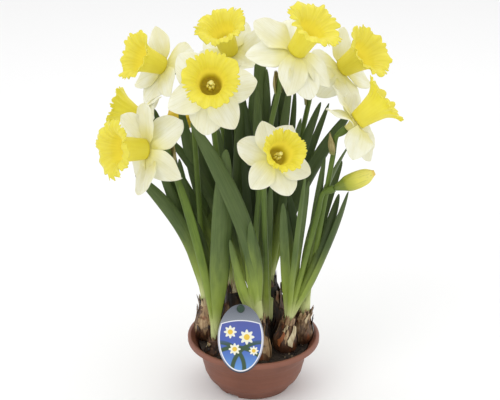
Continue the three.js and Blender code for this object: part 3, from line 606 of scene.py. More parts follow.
class Finish:
    """A material whose nodes are added by one method."""

    def __init__(self, name, **constants):
        self.material = bpy.data.materials.new(name)
        self.material.use_nodes = True
        self.tree = self.material.node_tree
        self.shader = self.tree.nodes["Principled BSDF"]
        for key, value in constants.items():
            self.shader.inputs[key.replace("_", " ")].default_value = value

    def node(self, kind, settings, inputs, output=0):
        """A node with its settings first, then the values or wires of its sockets."""
        made = self.tree.nodes.new("ShaderNode" + kind)
        for key, value in settings.items():
            if key == "stops":
                self.stops(made.color_ramp, value)
            else:
                setattr(made, key, value)
        for key, value in inputs.items():
            self.feed(made.inputs[key], value)
        return Wire(self, made.outputs[output])

    @staticmethod
    def stops(ramp, stops):
        """A ramp's places and colours."""
        for place, colour in stops[1:-1]:
            ramp.elements.new(place).color = shade(colour)
        for k in (0, -1):
            ramp.elements[k].position = stops[k][0]
            ramp.elements[k].color = shade(stops[k][1])

    def feed(self, socket, value):
        if isinstance(value, Wire):
            self.tree.links.new(value.socket, socket)
        else:
            socket.default_value = value

    def paint(self, key, value):
        """Sends a wire to the shader."""
        self.feed(self.shader.inputs[key], value)

    def done(self, colour, height, strength, distance, roughness=None):
        """The material, once the colour, the bump and any uneven roughness reach the shader."""
        self.paint("Base Color", colour)
        if roughness is not None:
            self.paint("Roughness", roughness)
        bump = {"Height": height, "Strength": strength, "Distance": distance}
        self.paint("Normal", self.node("Bump", {}, bump))
        return self.material

    def place(self):
        """A point on the object, in metres."""
        return self.node("TexCoord", {}, {}, 3)

    def split(self, vector):
        """A vector's three numbers, each as a wire."""
        return [self.node("SeparateXYZ", {}, {0: vector}, k) for k in range(3)]

    def note(self, name):
        """A note as a vector, then its three numbers."""
        vector = self.node("Attribute", {"attribute_name": name}, {}, 1)
        return vector, *self.split(vector)

    def join(self, x, y, z):
        return self.node("CombineXYZ", {}, {0: x, 1: y, 2: z})

    def math(self, operation, first, second=0):
        return self.node("Math", {"operation": operation}, {0: first, 1: second})

    def vectors(self, operation, first, second=(0, 0, 0)):
        return self.node("VectorMath", {"operation": operation}, {0: first, 1: second})

    @staticmethod
    def away(x, y):
        """The distance that two steps at right angles make."""
        return (x * x + y * y) ** 0.5

    def noise(self, vector, scale, detail=3, rough=0.5):
        """A soft uneven field, with one scale or one for each direction."""
        if isinstance(scale, tuple):
            vector, scale = self.vectors("MULTIPLY", vector, scale), 1
        inputs = {"Vector": vector, "Scale": scale, "Detail": detail, "Roughness": rough}
        return self.node("TexNoise", {}, inputs)

    def smooth(self, value, low, high):
        """0 below low, 1 above high and a soft step between. Where low is the greater, it is 1
        below high and 0 above low."""
        inputs = {"Value": value, "From Min": min(low, high), "From Max": max(low, high)}
        step = self.node("MapRange", {"interpolation_type": "SMOOTHSTEP"}, inputs)
        return step if low < high else 1 - step

    def blend(self, factor, first, second):
        return self.node("Mix", {"data_type": "RGBA"}, {0: factor, 6: shade(first), 7: shade(second)}, 2)

    def ramp(self, factor, *stops):
        return self.node("ValToRGB", {"stops": stops}, {0: factor})

    def lay(self, base, *layers):
        """Lays colours over a base one by one, each by a wire's soft step from low to high times
        how strong it is."""
        for wire, low, high, strength, colour in layers:
            base = self.blend(self.smooth(wire, low, high) * strength, base, colour)
        return base


def terracotta_finish():
    """Moulded brown plastic: broad mottling, fine grain, faint turned rings, and paler from the rim's height
    up.
    """
    f = Finish("terracotta_plastic", Roughness=0.5)
    spot = f.place()
    height = f.split(spot)[2]
    fine = f.noise(spot, 900, 2)
    rings = f.noise(spot, (8, 8, 420))
    base = f.ramp(f.noise(spot, 28, 4), (0.3, (110, 64, 46)), (0.7, (128, 78, 58)))
    # Paler from the rim's height up
    base = f.lay(base, (height, 0.054, 0.068, 0.3, (158, 104, 86)), (rings, 0.45, 0.75, 0.25, (96, 54, 38)))
    return f.done(base, fine * 0.4 + rings, 0.25, 0.0004, fine * 0.2 + 0.42)


def peat_finish():
    """Damp dark peat with brown fibres and pale flecks, by each crumb's own tone."""
    f = Finish("dark_peat", Roughness=0.9)
    tone = f.note("place")[3]
    grain = f.noise(f.place(), 700, 5, 0.7)
    base = f.ramp(grain, (0.3, (26, 21, 17)), (0.6, (66, 54, 43)), (0.8, (116, 97, 76)))
    base = f.lay(base, (tone, 0.8, 0.95, 1, (150, 132, 104)))
    return f.done(base, grain, 0.9, 0.0015, grain * 0.4 + 0.6)


def bulb_finish():
    """Papery skins: streaks along the bulb, tan to near black by tone; sharp-edged patches where an
    outer skin has torn off a darker red-brown one; dark blotches; and cream where tone is below 0."""
    f = Finish("papery_bulb_skin", Roughness=0.6)
    own = f.note("own")[0]
    along, tone = f.note("place")[2:]
    streaks = f.noise(own, (330, 330, 26), 4, 0.55)
    veins = f.noise(own, (1500, 1500, 40), 2)
    blotch = f.noise(own, 75, 4, 0.6)
    torn = f.noise(own, (70, 70, 42), 3, 0.55)
    orange = f.noise(own, (90, 90, 50), 2)
    tan = f.ramp(streaks, (0.3, (112, 84, 56)), (0.5, (166, 136, 98)), (0.7, (198, 174, 134)))
    brown = f.ramp(streaks, (0.3, (34, 22, 15)), (0.52, (78, 50, 31)), (0.72, (122, 86, 56)))
    black = f.ramp(streaks, (0.3, (14, 12, 10)), (0.55, (32, 27, 22)), (0.75, (74, 58, 42)))
    cream = f.ramp(streaks, (0.35, (150, 128, 88)), (0.6, (218, 206, 168)))
    low = f.smooth(along + f.noise(own, 32) * 0.5, 0.75, 0.4)
    base = f.lay(tan, (tone + blotch * 0.6 - 0.3, 0.2, 0.65, 1, brown),
                 (torn - along * 0.1 + low * 0.08, 0.49, 0.51, 0.85, brown))
    base = f.blend(low * 0.6, base, (74, 44, 26))
    base = f.lay(base, (orange, 0.6, 0.68, 0.6, (138, 74, 36)),
                 (tone + blotch * 0.5 - 0.25, 0.78, 0.95, 1, black), (blotch, 0.6, 0.7, 0.7, (30, 22, 17)),
                 (tone, 1.1, 1.4, 1, (146, 84, 42)), (tone * -1, 0.02, 0.3, 1, cream))
    return f.done(base, streaks + veins * 0.5, 0.4, 0.0006, streaks * 0.3 + 0.3)


def leaf_finish():
    """Strap leaves and stems: pale yellow-green at the foot, then the leaf's green by its tone, whose dark
    end is partly painted shade, with fine parallel veins and a faint waxy bloom."""
    f = Finish("strap_leaf", Roughness=0.45, Specular_IOR_Level=0.35)
    place, _, along, tone = f.note("place")
    lines = f.noise(place, (1.6, 0.02, 40), 3, 0.6)
    broad = f.noise(place, (0.12, 0.03, 90))
    # The green by tone: the dark stop is partly the leaf's own colour and partly painted shade
    own = f.lay((38, 52, 14), (tone, 0.05, 0.5, 1, (90, 108, 56)), (tone, 0.55, 1, 1, (102, 126, 32)),
                (broad, 0.35, 0.75, 0.45, (58, 82, 28)), (lines, 0.35, 0.65, 0.3, (36, 54, 22)))
    base = f.lay((196, 202, 140), (along, 2, 42, 1, (138, 156, 62)), (along + broad * 60, 55, 150, 1, own))
    return f.done(base, lines, 0.35, 0.0005, broad * 0.2 + 0.4)


def petal_finish():
    """Soft petals: cream to white, greenish yellow at the foot, with fine long veins, and a little
    of their own colour given off for the light that a thin petal lets through."""
    f = Finish("cream_petal", Roughness=0.55, Subsurface_Weight=0.3, Subsurface_Scale=0.004,
               Subsurface_Radius=(1, 1, 0.8), Emission_Strength=0.12)
    place, _, along, _ = f.note("place")
    veins = f.noise(place, (1.1, 1.6, 70), 3, 0.6)
    broad = f.noise(place, (0.07, 2, 30), 2)
    base = f.lay((225, 225, 206), (broad, 0.3, 0.7, 1, (217, 215, 184)),
                 (veins, 0.45, 0.7, 0.35, (198, 194, 140)), (along, 0.6, 0.04, 0.75, (214, 206, 96)))
    f.paint("Emission Color", base)
    return f.done(base, veins, 0.3, 0.0006)


def trumpet_finish():
    """Frilled trumpets: clear yellow, deeper along the flutes of the tube, with painted shade that darkens
    the tube towards its foot and deep in the throat, and a darker painted-shade copy of the yellow over
    the inside of the mouth. Inside, the wall gives off some yellow, a painted glow for the light that
    comes through it."""
    f = Finish("yellow_trumpet", Roughness=0.5, Subsurface_Weight=0.3, Subsurface_Scale=0.004,
               Subsurface_Radius=(1, 0.9, 0.25), Emission_Strength=1)
    own, x, y, _ = f.note("own")
    _, inner, along, tone = f.note("place")
    spoke = f.vectors("MULTIPLY", f.vectors("NORMALIZE", f.join(x, y, 0)), (9, 9, 0))
    ribs = f.noise(f.vectors("ADD", spoke, f.join(0, 0, along * 1.6)), 1, 4, 0.6)
    # Painted shade: the last layer darkens the yellow towards the tube's foot
    base = f.lay((232, 220, 70), (f.noise(own, 60, 2), 0.3, 0.7, 1, (226, 212, 58)),
                 (ribs, 0.45, 0.7, 0.3, (214, 196, 42)), (along, 0.7, 0.1, 0.45, (216, 200, 48)))
    # Painted shade: a darker copy of the yellow laid over the inside of the mouth, which takes more light
    painted_inside_shade = f.ramp(ribs, (0.35, (208, 194, 50)), (0.6, (220, 208, 66)))
    base = f.blend(inner * f.smooth(along, 0.3, 0.6) * 0.85, base, painted_inside_shade)
    # Painted shade deep in the throat, near the tube's foot
    base = f.blend(f.smooth(along, 0.25, 0.02) * inner * 0.6, base, (184, 160, 34))
    base = f.lay(base, (tone, 0.5, 0.9, 1, (240, 232, 150)))
    # Painted glow inside the wall, in place of the light that comes through it
    glow = inner * (f.smooth(along, 0.12, 0.42) * 0.85 + 0.15) * (1 - f.smooth(along, 0.42, 0.72) * 0.85)
    f.paint("Emission Color", f.blend(glow, (0, 0, 0, 1), (0.2, 0.17, 0.03, 1)))
    return f.done(base, ribs, 0.3, 0.0007)


def bud_finish():
    """Furled petals: green at the neck, through greenish yellow to pale yellow, with an orange
    point."""
    f = Finish("furled_bud", Roughness=0.5, Subsurface_Weight=0.2, Subsurface_Scale=0.003,
               Subsurface_Radius=(1, 0.9, 0.4))
    along, tone = f.note("place")[2:]
    lines = f.noise(f.note("own")[0], (500, 500, 25))
    base = f.ramp(along + lines * 0.12 - 0.06, (0, (96, 116, 44)), (0.42, (124, 138, 42)),
                  (0.56, (172, 176, 52)), (0.72, (214, 208, 84)), (0.93, (226, 218, 110)),
                  (1, (222, 190, 84)))
    base = f.lay(base, (lines, 0.5, 0.72, 0.35, (146, 156, 52)), (tone, 0.6, 0.8, 1, (228, 196, 34)))
    return f.done(base, lines, 0.3, 0.0006)


def paper_finish():
    """Dry tan spathes: long creases and veins, paler between them, and green at the foot."""
    f = Finish("dry_spathe", Roughness=0.65)
    place, _, along, _ = f.note("place")
    lines = f.noise(place, (1.4, 3, 40), 4, 0.6)
    base = f.ramp(lines, (0.3, (104, 90, 50)), (0.5, (152, 138, 88)), (0.7, (194, 182, 132)))
    base = f.lay(base, (along, 0.4, 0.02, 0.7, (118, 128, 58)))
    return f.done(base, lines, 0.6, 0.0006)


def green_plastic_finish():
    """The stake's dark green moulded plastic, with a fine grain."""
    f = Finish("green_plastic", Roughness=0.4)
    grain = f.noise(f.place(), 600, 2)
    return f.done(f.ramp(grain, (0.3, (16, 44, 30)), (0.7, (26, 62, 42))), grain, 0.2, 0.0003)


def label_finish():
    """The printed label: a silver border, grey with fine hatching at its top and slate at its foot;
    a thin white line round a field cut off by a flat arch, which runs from violet blue to sky blue;
    and on it simple daisies and arching leaves."""
    f = Finish("printed_label", Roughness=0.28, Coat_Weight=0.3, Coat_Roughness=0.15)
    x, y = (wire * 1000 for wire in f.note("own")[1:3])
    hatch = f.math("SINE", (x + y) * 5.5) * 0.5 + 0.5
    border = f.ramp(y * 0.0125 + 0.5, (0.02, (40, 46, 68)), (0.14, (78, 86, 108)), (0.3, (182, 184, 198)),
                    (0.6, (190, 192, 202)), (0.75, (136, 142, 152)), (0.95, (94, 100, 110)))
    border = f.blend(hatch * f.smooth(y, 8, 22) * 0.45, border, (70, 76, 88))
    oval = (((x * (1 / 24.2)) ** 2 + ((y - 0.4) * (1 / 37.2)) ** 2) ** 0.5 - 1) * 26
    edge = f.math("MAXIMUM", oval, x * x * 0.0076 + y - 20.8)
    line = f.smooth(edge, -0.3, 0.1) * f.smooth(edge, 1.2, 0.8)
    field = f.ramp(y * (1 / 58) + 0.63, (0, (92, 148, 212)), (0.45, (62, 92, 176)), (1, (74, 84, 156)))
    for centre_x, centre_y, reach in ((-26, -34, 30), (24, -38, 34), (-6, -52, 42)):
        ring = f.math("ABSOLUTE", f.away(x - centre_x, y - centre_y) - reach)
        field = f.blend(f.smooth(ring, 3, 1.8) * f.smooth(y * -1, -4, 8), field, (44, 74, 46))
    for centre_x, centre_y, size in ((-12, 8, 8), (7, 2, 9.5), (-7, -12, 7.5), (15, -14, 6)):
        off_x = x - centre_x
        off_y = y - centre_y
        distance = f.away(off_x, off_y)
        lobes = f.math("COSINE", f.math("ARCTAN2", off_y, off_x) * 8) * (size * 0.16)
        field = f.lay(field, (distance - lobes, size * 0.82, size * 0.72, 1, (232, 232, 214)),
                      (distance, size * 0.4, size * 0.34, 1, (228, 190, 58)))
    base = f.blend(line, border, (232, 234, 240))
    f.paint("Base Color", f.lay(base, (edge, 0.1, -0.3, 1, field)))
    return f.material


# Shapes

def place_ring(path, radius, sides, ways=None):
    """Circles round a path, square to it: centre plus radius times cosine and sine."""
    ways = unit(np.gradient(path, axis=0)) if ways is None else ways
    first, second = square_to(ways, GUIDE)
    turn = circle(sides)
    radius = np.broadcast_to(np.asarray(radius, float).reshape(len(path), -1), (len(path), sides))
    around = np.cos(turn)[None, :, None] * first[:, None] + np.sin(turn)[None, :, None] * second[:, None]
    return path[:, None] + radius[..., None] * around


def make_bowl():
    """The outline turned round the upright axis, with low rings on the wall, and with the foot's
    radius drawn in where a notch is."""
    foot = [(0, 0), (20, 0), (40, 0), (BASE_RADIUS - 1, 0), (BASE_RADIUS, 0.6), (BASE_RADIUS + 0.6, 2),
            (BASE_RADIUS + 2.2, NOTCH_HEIGHT - 0.05), (BASE_RADIUS + 2.3, NOTCH_HEIGHT), (52.4, 12.4)]
    outside = [(53.4, 13.2), (54.9, 13.5), (55.6, 14), (56.2, 15), *OUTER_WALL,
               (72.6, 61), (74, 60.6), (78.6, 60), (79.6, 60.3), (80, 61.2)]
    inside = [(80, 65.2), (79.6, 66.3), (78.6, 66.9), (77.4, 67), (76.2, 66.7), (75.4, 66), (75, 65),
              *INNER_WALL, (20, WALL), (0, WALL)]
    outline = np.array([*foot, *outside, *inside], float)
    lengths = np.linalg.norm(np.diff(outline, axis=0), axis=1)
    travelled = np.concatenate([[0], np.cumsum(lengths)])
    stations = np.unique(np.concatenate([travelled, np.arange(0, travelled[-1], BOWL_STEP)]))
    radius = np.interp(stations, travelled, outline[:, 0])
    height = np.interp(stations, travelled, outline[:, 1])
    wall = (height > 16) & (height < 59) & (radius > 56)
    wall = wall & (stations < travelled[len(foot) + len(outside) - 1])
    bulge = sum(np.exp(-((height - level) / WALL_RING_WIDTH) ** 2) for level in WALL_RINGS)
    radius = radius + np.where(wall, WALL_RING_RISE * bulge, 0)
    turn = circle(BOWL_SIDES)
    radius = np.repeat(radius[:, None], BOWL_SIDES, axis=1)
    low = (height < NOTCH_HEIGHT - 0.01) & (stations < travelled[len(foot) - 1])
    for angle in np.radians(NOTCH_ANGLES):
        apart = np.abs((turn - angle + np.pi) % (2 * np.pi) - np.pi) * BASE_RADIUS
        cut = low[:, None] & (apart < NOTCH_WIDTH / 2)[None, :]
        radius = np.where(cut, np.minimum(radius, BASE_RADIUS - NOTCH_DEPTH), radius)
    rings = polar(radius, turn, height[:, None])[1:-1]
    skin = Skin()
    skin.add(tube(rings), rings)
    made = skin.piece("bowl_moulding", terracotta_finish(), ["bowl"], crease=35)
    pierce(made)


def pierce(made):
    """Takes the drain holes out of the bowl's floor."""
    skin = Skin()
    for k in range(DRAIN_COUNT):
        centre = polar(DRAIN_CIRCLE, 2 * np.pi * (k + 0.5) / DRAIN_COUNT, 0)
        path = centre + np.array([[0, 0, -3], [0, 0, WALL + 1.5]], float)
        ring = place_ring(path, [DRAIN_RADIUS] * 2, DRAIN_SIDES)
        skin.add(tube(ring), ring)
    cutter = skin.joined("drain_cutter")[0]
    cut = made.modifiers.new("drain_holes", "BOOLEAN")
    cut.object = cutter
    cut.operation = "DIFFERENCE"
    cut.solver = "EXACT"
    bpy.context.view_layer.update()
    whole = bpy.data.meshes.new_from_object(made.evaluated_get(bpy.context.evaluated_depsgraph_get()))
    made.modifiers.clear()
    made.data = whole
    bpy.data.objects.remove(cutter)


def soil_top(x, y):
    """The soil's level: broad waves of sines over the place."""
    broad = 1.7 * np.sin(0.13 * x + 1) * np.cos(0.11 * y)
    return SOIL_HEIGHT + broad + 1.1 * np.sin(0.23 * (x + y))


def make_soil():
    """A disc of rings at the soil's level with lumps, then down inside the wall to the floor; and
    small crumbs, each a bent ball of twenty faces, strewn over it."""
    turn = circle(SOIL_SIDES)[None, :]
    radius = np.linspace(0.5, SOIL_RADIUS, SOIL_ROWS)[:, None]
    top = polar(radius, turn, 0)
    lumps = 0.9 * ripple(top, 24, 3) + 0.7 * ripple(top, 7, 4, 2)
    top[..., 2] = soil_top(top[..., 0], top[..., 1]) + lumps * smoothstep(SOIL_RADIUS - radius, 0, 6)
    wall = np.array([(r - 2 * GAP, z + GAP) for r, z in INNER_WALL[1:]])
    rings = np.concatenate([top, polar(wall[:, :1], turn, wall[:, 1:])])
    skin = Skin()
    skin.add(tube(rings), notes(rings[..., 0], rings[..., 1], 0.3))
    rng = np.random.default_rng(11)
    angle = rng.uniform(0, 2 * np.pi, CRUMBS)
    centre = polar(CRUMB_REACH * np.sqrt(rng.uniform(0, 1, CRUMBS)), angle, 0)
    centre[:, 2] = soil_top(centre[:, 0], centre[:, 1]) + rng.uniform(-0.2, 0.8, CRUMBS)
    size = rng.uniform(0.7, 2.3, (CRUMBS, 1, 1)) * rng.uniform(0.5, 1.2, (CRUMBS, 1, 3))
    corners, faces = ball()
    bent = corners * (1 + rng.uniform(-0.25, 0.25, (CRUMBS, len(corners), 1)))
    points = (centre[:, None] + bent * size).reshape(-1, 3)
    faces = (faces[None] + np.arange(CRUMBS)[:, None, None] * len(corners)).reshape(-1, 3)
    tone = np.repeat(rng.uniform(0, 1, CRUMBS), len(corners))
    skin.add((points, np.empty((0, 4), int), faces), notes(points[:, 0], points[:, 1], tone))
    skin.piece("soil_bed", peat_finish(), ["soil"])


def ball():
    """The twelve corners and twenty faces of a regular solid, of radius 1."""
    g = (1 + 5 ** 0.5) / 2
    corners = np.array([(-1, g, 0), (1, g, 0), (-1, -g, 0), (1, -g, 0), (0, -1, g), (0, 1, g),
                        (0, -1, -g), (0, 1, -g), (g, 0, -1), (g, 0, 1), (-g, 0, -1), (-g, 0, 1)])
    faces = np.array([(0, 11, 5), (0, 5, 1), (0, 1, 7), (0, 7, 10), (0, 10, 11), (1, 5, 9), (5, 11, 4),
                      (11, 10, 2), (10, 7, 6), (7, 1, 8), (3, 9, 4), (3, 4, 2), (3, 2, 6), (3, 6, 8),
                      (3, 8, 9), (4, 9, 5), (2, 4, 11), (6, 2, 10), (8, 6, 7), (9, 8, 1)])
    return unit(corners), faces


def bulb_axis(name):
    """A bulb's foot, and its axis's length and direction."""
    foot, top = (np.array(end, float) for end in BULBS[name][:2])
    length = np.linalg.norm(top - foot)
    return foot, length, unit(top - foot)


def bulb_root(name):
    """Where a bulb's leaves and stems start."""
    foot, length, direction = bulb_axis(name)
    return foot + direction * (length - ROOT_DEPTH)


def bulb_radius(name, share):
    """The bulb's radius up its length, drawn in to its neck."""
    bulb = BULBS[name]
    widths = [width * bulb.radius for width in BULB_WIDTHS]
    widths[-1] = max(widths[-1], bulb.neck)
    return spline(share, BULB_STATIONS, [*widths, bulb.neck])


def on_bulb(name, turn, share, radius):
    """Points round a bulb's axis, in the world and in the bulb's own upright directions."""
    foot, length, direction = bulb_axis(name)
    first, second = square_to(direction, GUIDE)
    own = polar(radius, turn, share * length)
    return foot + own[..., :1] * first + own[..., 1:2] * second + own[..., 2:] * direction, own


def make_bulb(name, seed):
    """A round body of rings with shallow ribs and dents, a hollow neck, loose outer skins whose
    edges lift and fray, torn flakes, and shreds of dry skin that stand round the neck."""
    bulb = BULBS[name]
    length = bulb_axis(name)[1]
    turn = circle(BULB_SIDES)[None, :]
    share = np.linspace(0, 1, BULB_ROWS)[:, None]
    radius = bulb_radius(name, share) * (1 + 0 * turn)
    own = on_bulb(name, turn, share, radius)[1]
    uneven = 0.03 * ripple(own, bulb.radius * 2.2, seed) + 0.012 * np.sin(9 * turn + 3 * share + seed)
    fibres = 0.006 * ripple(own * (1, 1, 0.12), 5, seed + 9, 2)
    radius = radius * (1 + (uneven + fibres) * smoothstep(share, 0, 0.2) * (1 - smoothstep(share, 0.85, 1)))
    torn = chance(np.arange(BULB_SIDES) // 4 + seed * 3)[None, :]
    ragged = share - smoothstep(share, 0.9, 1) * 5 / length * torn
    outer, outer_own = on_bulb(name, turn, ragged, radius)
    bore = np.full((2, BULB_SIDES), bulb.neck - SOCKET_WALL)
    bore_shares = np.stack([ragged[-1], np.full(BULB_SIDES, 1 - SOCKET_DEPTH / length)])
    inner, inner_own = on_bulb(name, turn, bore_shares, bore)
    rings = np.concatenate([outer, inner])
    skin = Skin()
    along = np.concatenate([share, [[1], [0.9]]])
    skin.add(tube(rings), notes(0 * rings[..., 0], along, bulb.tone), np.concatenate([outer_own, inner_own]))
    rng = np.random.default_rng(seed)
    for k in range(LOOSE_SKINS):
        add_loose_skin(skin, name, rng, k)
    for k in range(NECK_SHREDS):
        add_shred(skin, name, rng, 2 * np.pi * k / NECK_SHREDS, rng.uniform(3, 10), rng.uniform(-0.4, 0.2))
    for angle, tall, darker in SHREDS.get(name, ()):
        add_shred(skin, name, rng, np.radians(angle), tall, darker)
    for angle, *flake in FLAKES.get(name, ()):
        add_flake(skin, name, np.radians(angle), *flake)
    skin.piece(f"bulb_{name}_skins", finishes["bulb"], [f"bulb_{name}"])


def add_sheet(skin, name, turn, share, radius, across, along, tone):
    """A sheet of dry skin round a bulb's axis."""
    world, own = on_bulb(name, turn, share, radius)
    skin.add(thicken(world, SKIN_THICKNESS), notes(across, along, tone), own)


def add_loose_skin(skin, name, rng, k):
    """Part of a dry outer skin: it follows the bulb a little way off, and lifts and frays towards
    its side and upper edges."""
    bulb = BULBS[name]
    start = 2 * np.pi * k / LOOSE_SKINS + rng.uniform(-0.4, 0.4)
    up, across = steps(LOOSE_ROWS, LOOSE_COLUMNS)
    spread = rng.uniform(0.45, 0.75)
    top = rng.uniform(0.7, 0.93)
    frayed = up * (1 - 0.14 * chance(np.arange(LOOSE_COLUMNS) // 2 + k * 7)[None, :] * up)
    share = 0.1 + (top - 0.1) * frayed
    turn = start + across * spread * (1 - 0.35 * up ** 2)
    lift = 0.3 + 0.7 * np.abs(across) ** 5 + rng.uniform(0.3, 1.1) * up ** 8
    radius = bulb_radius(name, share) * 1.01 + lift + 0.2 * ripple(
        np.stack(np.broadcast_arrays(turn * bulb.radius, share * 40, 0 * up), axis=-1), 9, k + 5, 2)
    tone = np.clip(bulb.tone + rng.uniform(-0.35, 0.15), 0, 1)
    add_sheet(skin, name, turn, share, radius, across, share, tone)


def add_flake(skin, name, turn, share, wide, tall, lift, tone):
    """A torn flap on the bulb's side, ragged and lopsided: half its width is 1 less the square of
    the way up, times a random share at every other step. It lifts off towards its top."""
    up, across = steps(FLAKE_ROWS, FLAKE_COLUMNS, -1)
    torn = 0.5 + 0.5 * chance(np.arange(FLAKE_ROWS) // 2 + wide * 3 + share * 50)[:, None]
    half = wide / 2 * (1 - np.abs(up) ** 2) * (1 + 0.45 * up * np.sign(across + 0.01)) * torn + 0.15
    along = share + (up * tall / 2 + 0.25 * wide * across) / bulb_axis(name)[1]
    radius = bulb_radius(name, np.clip(along, 0, 1)) + 1.2 + lift * (0.5 + 0.5 * up) ** 2 + 0.3 * across ** 2
    add_sheet(skin, name, turn + across * half / np.maximum(radius, 5), along, radius, across, along, tone)


def add_shred(skin, name, rng, turn, tall, darker):
    """A narrow pointed strip that stands up from the neck's edge, leans out and curls."""
    length = bulb_axis(name)[1]
    bulb = BULBS[name]
    turn = turn + rng.uniform(-0.2, 0.2)
    up, across = steps(SHRED_ROWS, SHRED_COLUMNS)
    lean = rng.uniform(0, 0.3)
    width = rng.uniform(1.4, 3.4) * (1 - up ** 1.6)
    radius = bulb.neck + 0.35 + lean * tall * up ** 1.5 + 0 * across
    bend = turn + across * width / bulb.neck + 0.2 * up * rng.uniform(-1, 1)
    share = (length - 7 + (tall + 6) * up) / length
    add_sheet(skin, name, bend, share, radius, across, 1 + 0.2 * up, min(bulb.tone + darker, 1))


def leaf_half_width(share, width, sheath):
    """Narrow in the sheath, full from two fifths of the way up, drawn in to a blunt tip."""
    low = min(sheath * 0.7, width * 0.42)
    full = low + (width / 2 - low) * smoothstep(share, 0.02, 0.4)
    to_tip = np.maximum((share - 0.6) / 0.4, 0)
    return np.maximum(full * np.sqrt(np.maximum(1 - to_tip ** 2, 0)), 0.3)


def add_leaf(skin, leaf, root, sheath, seed):
    """A blade on a quadratic curve. Across it lies an arc, half width times sine and cosine of the
    fold, deep at the foot and shallow above; its edges wave a little."""
    tip, bow, width, face, twist, tone = leaf
    tip = np.array(tip, float)
    share = bunched(LEAF_ROWS, 1.25)
    centre, way = bezier(root, (root + tip) / 2 + bow, tip, share)
    turn = np.radians(face + twist * share + 90)
    side, normal = square_to(way, polar(1, turn, 0))
    step = np.linspace(-1, 1, LEAF_COLUMNS)[None, :]
    half = leaf_half_width(share, width, sheath)[:, None]
    fold = np.radians(30 + 45 * np.exp(-share / 0.07))[:, None]
    across = half * np.sin(fold * step) / np.sin(fold)
    rise = half * ((1 - np.cos(fold * step)) / np.sin(fold) - np.tan(fold / 2) / 2)
    phase = 2 * np.pi * chance(seed)
    wave = 0.07 * half * np.abs(step) ** 2 * np.sin(2 * np.pi * 1.7 * share[:, None] + phase + step)
    middle = centre[:, None] + across[..., None] * side[:, None] + (rise + wave)[..., None] * normal[:, None]
    length = np.linalg.norm(tip - root)
    thick = LEAF_THICKNESS * (0.4 + 0.6 * (1 - step ** 2)) * (1 - 0.5 * share[:, None])
    tone = tone + 0.04 * (chance(seed + 5) - 0.5)
    skin.add(thicken(middle, thick), notes(across, share[:, None] * length, tone))


def facing(bloom):
    """A flower's place and the direction that it faces."""
    tilt = np.radians(bloom.elevation)
    axis = polar(np.cos(tilt), np.radians(bloom.azimuth), np.sin(tilt))
    return np.array(bloom.place, float), axis


def stem_bend(bloom, root):
    """The start of the stem's bend, its corner, the pod's foot, and the ways up and out."""
    base, axis = facing(bloom)
    pod_foot = base - axis * (NECK_LENGTH * bloom.size + GAP + POD_LENGTH)
    corner = pod_foot - axis * bloom.corner
    rise = unit(unit(corner - root) + UP)
    return corner - rise * BEND_DROP, corner, pod_foot, rise, axis


def add_stem(skin, bloom, root, seed):
    """A ridged tube up one curve, round the bend by another, and then the swelling pod."""
    start, corner, pod_foot, _, axis = stem_bend(bloom, root)
    low = bezier(root, (root + start) / 2 + (bloom.bow, 0, 0), start, np.linspace(0, 0.98, STEM_ROWS))[0]
    high = bezier(start, corner, pod_foot, np.linspace(0.03, 1, BEND_ROWS))[0]
    pod_share = np.linspace(0.05, 1, POD_ROWS)
    pod = pod_foot + pod_share[:, None] * POD_LENGTH * axis
    path = np.concatenate([low, high, pod])
    thin = np.linspace(STEM_RADIUS, STEM_TOP_RADIUS, len(low) + len(high))
    bulge = np.sin(np.pi * np.minimum(pod_share * 1.15, 1) / 1.6)
    swell = STEM_TOP_RADIUS + (POD_RADIUS - STEM_TOP_RADIUS) * bulge
    turn = circle(STEM_SIDES)
    radius = np.concatenate([thin, swell])[:, None] * (1 + 0.06 * np.cos(2 * turn) + 0.03 * np.cos(6 * turn))
    rings = place_ring(path, radius, STEM_SIDES)
    along = np.concatenate([[0], np.cumsum(np.linalg.norm(np.diff(path, axis=0), axis=1))])
    across = STEM_RADIUS * np.abs(np.sin(turn))[None, :] * 2
    skin.add(tube(rings), notes(across, along[:, None], STEM_TONE - 0.15 * chance(seed)))


def make_tuft(name, seed):
    """A sheath that narrows upwards out of the bulb's neck, and every leaf and stem of that bulb."""
    foot, length, direction = bulb_axis(name)
    radius = (BULBS[name].neck - SOCKET_WALL) * np.cos(np.pi / 10) - GAP
    low = length - SOCKET_DEPTH + GAP
    high = length + SHEATH_HEIGHT
    share = np.linspace(0, 1, SHEATH_ROWS)
    path = foot + direction * (low + (high - low) * share)[:, None]
    turn = circle(SHEATH_SIDES)
    taper = radius * (1 - (1 - SHEATH_TAPER) * smoothstep(share, 0.3, 1))[:, None]
    taper = taper * (1 + 0.04 * np.cos(2 * turn + seed) - 0.02 * np.abs(np.sin(5 * turn)))
    rings = place_ring(path, taper, SHEATH_SIDES)
    torn = 3 * chance(np.arange(SHEATH_SIDES) // 3 + seed)[None, :]
    rings[-3:, :, 2] -= torn * np.array([[0.3], [0.6], [1]])
    skin = Skin()
    across = radius * np.abs(np.sin(turn))[None, :] * 2
    skin.add(tube(rings), notes(across, 22 * share[:, None], 0.9))
    carried = [bloom for bloom in (*BLOOMS.values(), OPENING, BUD) if bloom.bulb == name]
    grown = sorted([*LEAVES[name], *carried],
                   key=lambda item: (item.place if item in carried else item[0])[1])
    root = bulb_root(name)
    for k, item in enumerate(grown):
        offset = 2 * k / (len(grown) - 1) - 1
        own_root = root + np.array([0, offset * radius * ROOT_SPREAD, 0])
        if item in carried:
            add_stem(skin, item, own_root, seed + k)
        else:
            add_leaf(skin, item, own_root, radius, seed * 13 + k)
    for k, leaf in enumerate(MORE_LEAVES.get(name, ())):
        add_leaf(skin, leaf, root, radius * 0.8, seed * 13 + 20 + k)
    skin.piece(f"tuft_{name}_leaves", finishes["leaf"], [f"tuft_{name}"])


